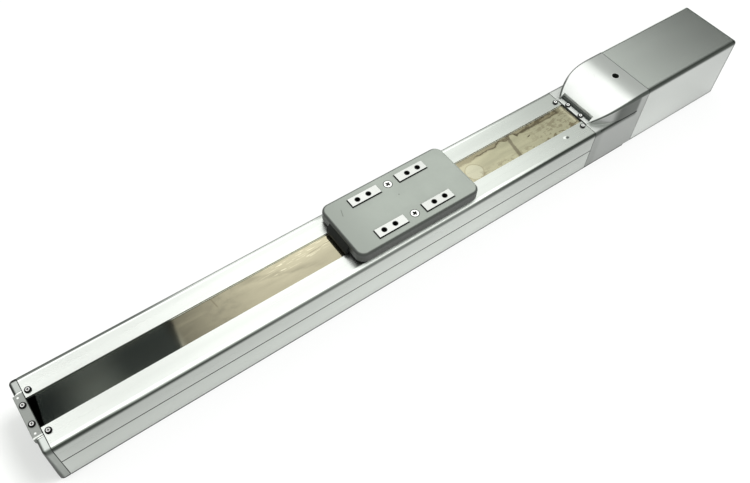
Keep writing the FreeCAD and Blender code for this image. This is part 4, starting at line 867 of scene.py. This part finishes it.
def screw_finish(name, colour, rim_start, arm_width, arm_length):
    """Plated screw, painted whiter towards the motor as light, dark round the rim, with painted
    shade in the recess.
    """
    material, place = start_surface(name)
    shape = place.add("ShaderNodeAttribute", {"attribute_name": "screw_place"}, {}, "Vector")
    x, y, z = shape.parts()
    rim = distance(x, y).smooth(rim_start, rim_start + 0.10)
    arms = cross_arm(x, y, arm_width, arm_length).most(cross_arm(y, x, arm_width, arm_length))
    # Painted shade in the cross recess
    recess = arms * z.smooth(-0.005, -0.02)
    grime = place.noise(700.0, detail=3.0)
    along = place.parts()[0]
    # Painted light: the heads whiter towards the motor
    lit_tone = graded(grime.smooth(0.35, 0.75), colour, 1.5, 1.25)
    tone = along.smooth(-0.30, 0.05).paint(shade(colour, 0.95), lit_tone)
    end_surface(place, {
        "Base Color": rim.most(recess).paint(tone, shade(colour, 0.03)),
        "Metallic": 1.0 - along.smooth(0.20, 0.34) * 0.8,
        "Roughness": 0.22 + grime * 0.12 + rim * 0.45,
        "Normal": grime.bump(0.05),
    })
    return material


def moulded_finish(name, colour, roughness, shine=0.5):
    """Black or coloured moulding with a fine grain."""
    material, place = start_surface(name)
    grain = place.noise(1500.0, detail=2.0)
    cloud = place.noise(40.0, detail=3.0)
    end_surface(place, {
        "Base Color": graded(cloud.smooth(*CLOUDS), colour, 0.85, 1.2),
        "Roughness": roughness + grain * 0.14,
        "Specular IOR Level": shine,
        "Normal": grain.bump(0.12),
    })
    return material


def glass_finish(name, colour):
    """Etched glass disc with a ring of fine lines."""
    material, place = start_surface(name)
    y, z = place.parts()[1:]
    rise = z - MOTOR_AXIS
    waves = rise.maths("ARCTAN2", y, rise) * 240.0
    lines = waves.maths("SINE", waves).smooth(-0.1, 0.1)
    end_surface(place, {
        "Base Color": lines.paint(shade(colour, 0.25), colour),
        "Roughness": 0.08 + lines * 0.05,
        "Coat Weight": 0.6,
    })
    return material


def dress(nodes, material):
    """Gives CAD nodes a material in all their slots."""
    for name in nodes:
        piece = frame["nodes"][name]
        if not piece.material_slots:
            piece.data.materials.append(material)
        for slot in piece.material_slots:
            slot.material = material


def nodes_of(slot):
    """The CAD nodes whose finish the record puts in this slot."""
    return [part["node"] for part in frame["record"]["subparts"] if part["material_slot"] == slot]


def new_piece(name, data):
    """A new object at the origin that carries a mesh, a lamp or a camera."""
    piece = bpy.data.objects.new(name, data)
    bpy.context.scene.collection.objects.link(piece)
    return piece


def screw_profile(size):
    """The screw's outline from the head's middle to the tip: radius and height of each ring."""
    radius, height, edge = size["Head Radius"], size["Head Height"], size["Head Round"]
    shank, tip = size["Shank Radius"], 0.0 - size["Shank Length"]
    inner = radius - edge
    lower = height - edge
    outline = [(0.0, height), (inner * 0.5, height), (inner, height)]
    for angle in (30.0, 60.0):
        turn = math.radians(angle)
        outline.append((inner + edge * math.sin(turn), lower + edge * math.cos(turn)))
    outline += [(radius, lower), (radius, 0.0), (shank, 0.0 - size["Cone Depth"])]
    outline += [(shank, tip), (0.0, tip)]
    return outline


def turned_body(points, place, size):
    """Node geometry of a screw without its recess: a ball whose rings take the outline's sizes."""
    outline = screw_profile(size)
    rings = len(outline) - 1
    ball_size = {"Segments": 32, "Rings": rings, "Radius": 1.0}
    ball = points.add("GeometryNodeMeshUVSphere", {}, ball_size)
    x, y, z = place.parts()
    turn = z.least(1.0).most(-1.0)
    ring = turn.maths("ROUND", turn.maths("ARCCOSINE", turn) * (rings / math.pi))
    choices = {"data_type": "FLOAT", "items": len(outline)}
    radius, height = (
        points.add("GeometryNodeIndexSwitch", choices, dict(enumerate((ring, *numbers))))
        for numbers in zip(*outline)
    )
    flat = x.maths("SQRT", x * x + y * y)
    widen = radius / flat.most(0.0001)
    moved = points.add("ShaderNodeCombineXYZ", {}, {0: x * widen, 1: y * widen, 2: height})
    turned = points.add("GeometryNodeSetPosition", {}, {"Geometry": ball, "Position": moved})
    merge = {"Geometry": turned, "Distance": 0.000005}
    return points.add("GeometryNodeMergeByDistance", {}, merge)


def cut_cross(points, place, size, whole):
    """Node geometry of a screw with its cross recess, whose two bars narrow towards the bottom."""
    x, y, z = place.parts()
    height = size["Head Height"]
    bar_sizes = (size["Recess Length"], size["Recess Width"], size["Recess Depth"] * 2.0)
    bar_size = points.add("ShaderNodeCombineXYZ", {}, dict(enumerate(bar_sizes)))
    bar = points.add("GeometryNodeMeshCube", {}, {"Size": bar_size}, "Mesh")
    narrow = z.smooth(-0.0001, 0.0001, 0.45, 1.0)
    corner = {0: x * narrow, 1: y * (0.5 + narrow * 0.5), 2: z + height}
    lifted = points.add("ShaderNodeCombineXYZ", {}, corner)
    first = points.add("GeometryNodeSetPosition", {}, {"Geometry": bar, "Position": lifted})
    quarter = {"Geometry": first, "Rotation": (0.0, 0.0, math.pi / 2)}
    second = points.add("GeometryNodeTransform", {}, quarter)
    return points.add(
        "GeometryNodeMeshBoolean",
        {"operation": "DIFFERENCE", "solver": "EXACT"},
        {"Mesh 1": whole, "Mesh 2": [first, second]},
    )


def mark_screw(points, place, size, cut):
    """Stores each point's place on the head, in shares of its radius, and shades the screw."""
    x, y, z = place.parts()
    lowered = points.add("ShaderNodeCombineXYZ", {}, {0: x, 1: y, 2: z - size["Head Height"]})
    scaled = {0: lowered, "Scale": 1.0 / size["Head Radius"]}
    share = points.add("ShaderNodeVectorMath", {"operation": "SCALE"}, scaled)
    named = points.add(
        "GeometryNodeStoreNamedAttribute",
        {"data_type": "FLOAT_VECTOR", "domain": "POINT"},
        {"Geometry": cut, "Name": "screw_place", "Value": share},
    )
    smooth = points.add("GeometryNodeSetShadeSmooth", {"domain": "FACE"}, {"Geometry": named})
    angle = points.add("GeometryNodeInputMeshEdgeAngle")
    sharp = angle.maths("GREATER_THAN", angle, 0.7)
    return points.add(
        "GeometryNodeSetShadeSmooth",
        {"domain": "EDGE"},
        {"Geometry": smooth, "Selection": sharp, "Shade Smooth": False},
    )


def screw_turn(points):
    """The way each screw faces, turned by chance about its own axis."""
    vector = {"data_type": "FLOAT_VECTOR"}
    facing = points.add("GeometryNodeInputNamedAttribute", vector, {"Name": "facing"})
    upright = points.add("FunctionNodeAlignRotationToVector", {"axis": "Z"}, {"Vector": facing})
    chance = points.add(
        "FunctionNodeRandomValue",
        {"data_type": "FLOAT"},
        {"Min_001": 0.0, "Max_001": math.pi / 2, "Seed": points.out("Seed")},
        "Value_001",
    )
    spin = points.add("FunctionNodeAxisAngleToRotation", {}, {"Axis": UP, "Angle": chance})
    return points.add(
        "FunctionNodeRotateRotation",
        {"rotation_space": "LOCAL"},
        {"Rotation": upright, "Rotate By": spin},
    )


def screw_tree(material):
    """A node tree that puts a cross-recess screw on each point."""
    tree = bpy.data.node_groups.new("cross recess screw", "GeometryNodeTree")
    tree.interface.new_socket("Geometry", in_out="INPUT", socket_type="NodeSocketGeometry")
    for name in SCREW_SIZES:
        tree.interface.new_socket(name, in_out="INPUT", socket_type="NodeSocketFloat")
    tree.interface.new_socket("Seed", in_out="INPUT", socket_type="NodeSocketInt")
    tree.interface.new_socket("Geometry", in_out="OUTPUT", socket_type="NodeSocketGeometry")
    points = Wire(tree).add("NodeGroupInput", output="Geometry")
    size = {name: points.out(name) for name in SCREW_SIZES}
    place = points.add("GeometryNodeInputPosition")
    cut = cut_cross(points, place, size, turned_body(points, place, size))
    screw = mark_screw(points, place, size, cut)
    instances = {"Points": points, "Instance": screw, "Rotation": screw_turn(points)}
    placed = points.add("GeometryNodeInstanceOnPoints", {}, instances)
    real = points.add("GeometryNodeRealizeInstances", {}, {"Geometry": placed})
    painted = points.add("GeometryNodeSetMaterial", {}, {"Geometry": real, "Material": material})
    points.add("NodeGroupOutput", {}, {"Geometry": painted})
    return tree


def screws(tree, name, places, sizes, seed, body):
    """Screws of one kind as a plain mesh that stands for its CAD node."""
    mesh = bpy.data.meshes.new(name + "_points")
    mesh.from_pydata([place for place, direction in places], [], [])
    facing = mesh.attributes.new("facing", "FLOAT_VECTOR", "POINT")
    for item, (place, direction) in zip(facing.data, places):
        item.vector = direction
    piece = new_piece(name + "_cross_recess", mesh)
    modifier = piece.modifiers.new("screws", "NODES")
    modifier.node_group = tree
    values = dict(zip(SCREW_SIZES, sizes))
    values["Seed"] = seed
    for item in tree.interface.items_tree:
        if item.in_out == "INPUT" and item.name in values:
            modifier[item.identifier] = values[item.name]
    depsgraph = bpy.context.evaluated_depsgraph_get()
    result = bpy.data.meshes.new_from_object(piece.evaluated_get(depsgraph), depsgraph=depsgraph)
    piece.modifiers.clear()
    piece.data = result
    if len(result.polygons) < len(places):
        raise RuntimeError(f"the screws of {name} came out empty")
    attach(piece, body)
    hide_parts(name)


def sheet_line(sheet, centre, end):
    """Points along one half of the sheet, from its clamped end to the slider's middle."""
    toward = 1.0 if end < centre else -1.0
    foot = centre - toward * sheet.foot
    crest = centre - toward * sheet.crest
    line = []
    for step in range(FLAT_STEPS):
        share = step / FLAT_STEPS
        line.append((end + (foot - end) * share, sheet.lie + FLAT_LIFT * share))
    for step in range(SLOPE_STEPS):
        share = step / SLOPE_STEPS
        lift = FLAT_LIFT + (sheet.rise - FLAT_LIFT) * share * share * (3.0 - 2.0 * share)
        line.append((foot + (crest - foot) * share, sheet.lie + lift))
    for step in range(CREST_STEPS + 1):
        share = step / CREST_STEPS
        line.append((crest + (centre - crest) * share, sheet.lie + sheet.rise))
    return line


def sheet_half(name, sheet, line, material):
    """One half of the cover sheet as a closed thin strip."""
    build = bmesh.new()
    corners = ((-1.0, 0.0), (1.0, 0.0), (1.0, sheet.thickness), (-1.0, sheet.thickness))
    rows = []
    for x, z in line:
        places = [(x, side * sheet.half_width, z + up) for side, up in corners]
        rows.append([build.verts.new(place) for place in places])
    for before, after in zip(rows, rows[1:]):
        for corner in range(len(corners)):
            nearby = (corner + 1) % len(corners)
            build.faces.new((before[corner], before[nearby], after[nearby], after[corner]))
    build.faces.new(rows[0])
    build.faces.new(rows[-1])
    bmesh.ops.recalc_face_normals(build, faces=build.faces)
    mesh = bpy.data.meshes.new(name)
    build.to_mesh(mesh)
    build.free()
    mesh.materials.append(material)
    piece = new_piece(name, mesh)
    return piece


class ACTUATOR_OT_extrusions(bpy.types.Operator):
    """Finish the aluminium body, side covers and inner blocks."""

    bl_idname = "actuator.extrusions"
    bl_label = "Extrusions"

    def execute(self, context):
        finishes = context.scene.actuator_finishes
        satin = extrusion_finish("satin aluminium", finishes.extrusion)
        dress(nodes_of("anodised_aluminium"), satin)
        dress(["slider_table"], pad_finish("milled aluminium", finishes.pads))
        return {"FINISHED"}


class ACTUATOR_OT_castings(bpy.types.Operator):
    """Finish the end cap, the clamps, the motor housing and the motor cover."""

    bl_idname = "actuator.castings"
    bl_label = "Castings and motor cover"

    def execute(self, context):
        finishes = context.scene.actuator_finishes
        bright = casting_finish("silver casting", finishes.casting, side_tone=0.50, metal=0.92)
        dull = casting_finish("dull casting", finishes.cap, side_tone=1.35, metal=0.35)
        dress(["motor_housing", "rear_sheet_clamp"], bright)
        dress(["front_end_cap", "front_sheet_clamp"], dull)
        dress(nodes_of("cover_grey"), painted_finish("silver cover", finishes.motor_cover))
        return {"FINISHED"}


class ACTUATOR_OT_slider(bpy.types.Operator):
    """Finish the slider's cover."""

    bl_idname = "actuator.slider"
    bl_label = "Slider cover"

    def execute(self, context):
        finishes = context.scene.actuator_finishes
        dress(nodes_of("slider_grey"), slider_finish("satin grey moulding", finishes.slider))
        return {"FINISHED"}


class ACTUATOR_OT_inner_parts(bpy.types.Operator):
    """Finish the steel, plastic, rubber and motor parts."""

    bl_idname = "actuator.inner_parts"
    bl_label = "Inner parts"

    def execute(self, context):
        finishes = context.scene.actuator_finishes
        black = moulded_finish("black moulding", finishes.plastic, roughness=0.52, shine=0.16)
        dress(nodes_of("bright_steel"), steel_finish("ground steel", finishes.steel))
        dress(nodes_of("black_plastic"), black)
        dress(nodes_of("black_rubber"), moulded_finish("black rubber", finishes.rubber, 0.60))
        dress(["ramp_seal"], moulded_finish("grey rubber", finishes.seal, 0.50))
        dress(nodes_of("bumper_rubber"), moulded_finish("urethane bumper", finishes.bumper, 0.35))
        dress(nodes_of("spider_red"), moulded_finish("urethane spider", finishes.spider, 0.35))
        dress(nodes_of("motor_black"), moulded_finish("motor paint", finishes.motor, 0.28))
        dress(nodes_of("encoder_glass"), glass_finish("etched disc", finishes.glass))
        return {"FINISHED"}


class ACTUATOR_OT_cover_sheet(bpy.types.Operator):
    """Lay the stainless cover sheet in two halves, with a hump where the slider lifts it."""

    bl_idname = "actuator.cover_sheet"
    bl_label = "Cover sheet"

    def execute(self, context):
        finishes = context.scene.actuator_finishes
        sheet = context.scene.actuator_sheet
        material = sheet_finish("stained stainless", finishes.sheet, finishes.stain)
        low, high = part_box("slider_cover")
        centre = (low.x + high.x) / 2
        front_line = sheet_line(sheet, centre, SHEET_FRONT_END)
        rear_line = sheet_line(sheet, centre, SHEET_REAR_END)
        front = sheet_half("sheet_front", sheet, front_line, material)
        rear = sheet_half("sheet_rear", sheet, rear_line, material)
        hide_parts("cover_sheet")
        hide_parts("cover_sheet")
        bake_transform(front)
        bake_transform(rear)
        return {"FINISHED"}


class ACTUATOR_OT_screws(bpy.types.Operator):
    """Put cross-recess screws on the covers, the clamps, the slider and the motor cover."""

    bl_idname = "actuator.screws"
    bl_label = "Screws"

    def execute(self, context):
        steel = context.scene.actuator_finishes.steel
        size = context.scene.actuator_screws
        tree = screw_tree(screw_finish("plated screw", steel, PAN_RIM, *PAN_CROSS))
        sunk_tree = screw_tree(screw_finish("bright screw", steel, SUNK_RIM, *SUNK_CROSS))
        pan_head = (size.pan_radius, size.pan_height, size.pan_round, 0.0)
        small_head = (size.small_radius, 0.0, 0.0, size.small_cone)
        slider_head = (size.slider_radius, 0.0, 0.0, size.slider_cone)
        pan = (*pan_head, size.shank_radius, *PAN_SHANK)
        small = (*small_head, size.small_shank_radius, *SMALL_SHANK)
        sunk = (*slider_head, size.shank_radius, *SLIDER_SHANK)
        screws(tree, "pan_head_screws", PAN_SCREWS, pan, seed=3, body="base")
        screws(sunk_tree, "small_screws", SMALL_SCREWS, small, seed=5, body="base")
        screws(sunk_tree, "slider_cover_screws", SLIDER_SCREWS, sunk, seed=8, body="slider")
        return {"FINISHED"}


def light_room(stage):
    """Bright overhead, dimmer towards the motor and the horizon, and white behind the object."""
    world = bpy.data.worlds.new("studio")
    bpy.context.scene.world = world
    direction = bare_tree(world).add("ShaderNodeTexCoord", output="Generated")
    x, y, z = direction.parts()
    slope = ((z - x * 0.60 - 0.080) * 2.36).most(0.0).least(1.0)
    overhead = slope * z.smooth(0.30, 0.55) * y.smooth(-0.35, 0.30, 0.60, 1.0)
    zenith = overhead * z.smooth(0.93, 0.99, 1.0, 0.60) * x.smooth(-0.80, -0.45, 0.50, 1.0)
    walls = z.smooth(0.40, 0.22).most(z.smooth(0.70, 0.48) * y.smooth(0.05, -0.20))
    level = zenith.most(walls * 0.42)
    colour = level.smooth(0.75, 1.0).paint(level.paint(ROOM_DARK, ROOM_LIGHT), ROOM_BRIGHTEST)
    lit = {"Color": colour, "Strength": stage.sky}
    room = direction.add("ShaderNodeBackground", {}, lit, "Background")
    white = direction.add("ShaderNodeBackground", {}, {"Color": wide(WHITE)}, "Background")
    seen = direction.add("ShaderNodeLightPath", output="Is Camera Ray")
    both = direction.add("ShaderNodeMixShader", {}, {0: seen, 1: room, 2: white})
    direction.add("ShaderNodeOutputWorld", {}, {"Surface": both})


def flat_piece(name, corners, height, material):
    """A flat level piece of the stage with four corners."""
    mesh = bpy.data.meshes.new(name)
    mesh.from_pydata([(x, y, height) for x, y in corners], [], [(0, 1, 2, 3)])
    mesh.materials.append(material)
    return new_piece(name, mesh)


def lay_floor(stage):
    """A pale floor that shows white; it glows less near the front end, where it keeps the object's
    shadow, and more elsewhere, where the glow washes the shadow out.
    """
    material = bpy.data.materials.new("pale floor")
    path = bare_tree(material).add("ShaderNodeLightPath", output="Is Camera Ray")
    mirrored = path.out("Is Glossy Ray").most(path.out("Is Transmission Ray"))
    plain = path.add("ShaderNodeBsdfDiffuse", {}, {"Color": wide(stage.floor)})
    bright = path.add("ShaderNodeEmission", {}, {"Color": wide(WHITE), "Strength": 1.0})
    along = path.add("ShaderNodeTexCoord", output="Object").parts()[0]
    # Painted light: the floor glows white for the camera, less near the front end so the shadow
    # shows there, and more elsewhere
    share = path * along.smooth(-0.46, -0.28, 0.04, 0.80) + mirrored * 0.28
    both = path.add("ShaderNodeMixShader", {}, {0: share, 1: plain, 2: bright})
    path.add("ShaderNodeOutputMaterial", {}, {"Surface": both})
    half = stage.floor_size / 2
    corners = ((-half, -half), (half, -half), (half, half), (-half, half))
    floor = flat_piece("floor", corners, FLOOR_LEVEL, material)


def hang_card():
    """A dark card above, which only reflections see, mirrored in the front of the sheet."""
    material = bpy.data.materials.new("dark card")
    glow = bare_tree(material).add("ShaderNodeEmission", {}, {"Color": wide(CARD_GLOW)})
    glow.add("ShaderNodeOutputMaterial", {}, {"Surface": glow})
    card = flat_piece("dark_card", CARD_CORNERS, CARD_HEIGHT, material)
    card.visible_camera = False
    card.visible_diffuse = False
    card.visible_shadow = False
    card.visible_transmission = False


def hang_lamp(stage):
    """A soft distant lamp beyond the motor end, which lights the floor but isn't mirrored."""
    lamp = bpy.data.lights.new("soft lamp", "SUN")
    lamp.energy = stage.lamp
    lamp.angle = stage.lamp_angle
    holder = new_piece("soft lamp", lamp)
    holder.matrix_world = Vector(LAMP_WAY).to_track_quat("Z", "Y").to_matrix().to_4x4()
    holder.visible_glossy = False


def aim_camera(stage):
    """The photograph's view of the actuator."""
    azimuth, elevation, roll = stage.azimuth, stage.elevation, stage.roll
    level = math.cos(elevation)
    back = Vector((math.sin(azimuth) * level, -math.cos(azimuth) * level, math.sin(elevation)))
    right = Vector((math.cos(azimuth), math.sin(azimuth), 0.0))
    up = back.cross(right)
    tilted_right = right * math.cos(roll) + up * math.sin(roll)
    tilted_up = up * math.cos(roll) - right * math.sin(roll)
    turn = Matrix((tilted_right, tilted_up, back)).transposed().to_4x4()
    lens = bpy.data.cameras.new("photo view")
    lens.sensor_fit = "HORIZONTAL"
    lens.sensor_width = SENSOR_WIDTH
    lens.lens = stage.lens
    lens.clip_start = 0.01
    camera = new_piece("photo view", lens)
    camera.matrix_world = Matrix.Translation(CAMERA_PLACE) @ turn
    bpy.context.scene.camera = camera


class ACTUATOR_OT_stage(bpy.types.Operator):
    """Set up the floor, the light and the camera."""

    bl_idname = "actuator.stage"
    bl_label = "Stage"

    def execute(self, context):
        stage = context.scene.actuator_stage
        context.scene.view_settings.view_transform = "Standard"
        light_room(stage)
        lay_floor(stage)
        hang_card()
        hang_lamp(stage)
        aim_camera(stage)
        return {"FINISHED"}


class ACTUATOR_PT_pieces(bpy.types.Panel):
    """Lists the actuator's pieces with their sizes and colours."""

    bl_idname = "ACTUATOR_PT_pieces"
    bl_label = "Slider actuator"
    bl_space_type = "VIEW_3D"
    bl_region_type = "UI"
    bl_category = "Actuator"

    def draw(self, context):
        for operator in OPERATORS:
            self.layout.operator(operator.bl_idname)
        for name in GROUPS:
            values = getattr(context.scene, name)
            column = self.layout.column()
            column.label(text=name.replace("_", " "))
            for key in values.bl_rna.properties.keys():
                if key not in ("rna_type", "name"):
                    column.prop(values, key)


GROUPS = {
    "actuator_finishes": ActuatorFinishes,
    "actuator_screws": ActuatorScrews,
    "actuator_sheet": ActuatorSheet,
    "actuator_stage": ActuatorStage,
}
OPERATORS = (
    ACTUATOR_OT_extrusions,
    ACTUATOR_OT_castings,
    ACTUATOR_OT_slider,
    ACTUATOR_OT_inner_parts,
    ACTUATOR_OT_cover_sheet,
    ACTUATOR_OT_screws,
    ACTUATOR_OT_stage,
)


def register():
    """Makes the groups, operators and panel known to Blender."""
    for name, group in GROUPS.items():
        bpy.utils.register_class(group)
        setattr(bpy.types.Scene, name, bpy.props.PointerProperty(type=group))
    for kind in (*OPERATORS, ACTUATOR_PT_pieces):
        bpy.utils.register_class(kind)


def unregister():
    """Takes the panel, operators and groups away again."""
    for kind in (ACTUATOR_PT_pieces, *reversed(OPERATORS)):
        bpy.utils.unregister_class(kind)
    for name, group in reversed(GROUPS.items()):
        delattr(bpy.types.Scene, name)
        bpy.utils.unregister_class(group)


def main():
    """Builds every piece in order."""
    register()
    bpy.ops.actuator.extrusions()
    bpy.ops.actuator.castings()
    bpy.ops.actuator.slider()
    bpy.ops.actuator.inner_parts()
    bpy.ops.actuator.cover_sheet()
    bpy.ops.actuator.screws()
    bpy.ops.actuator.stage()


if __name__ == "__main__":
    main()
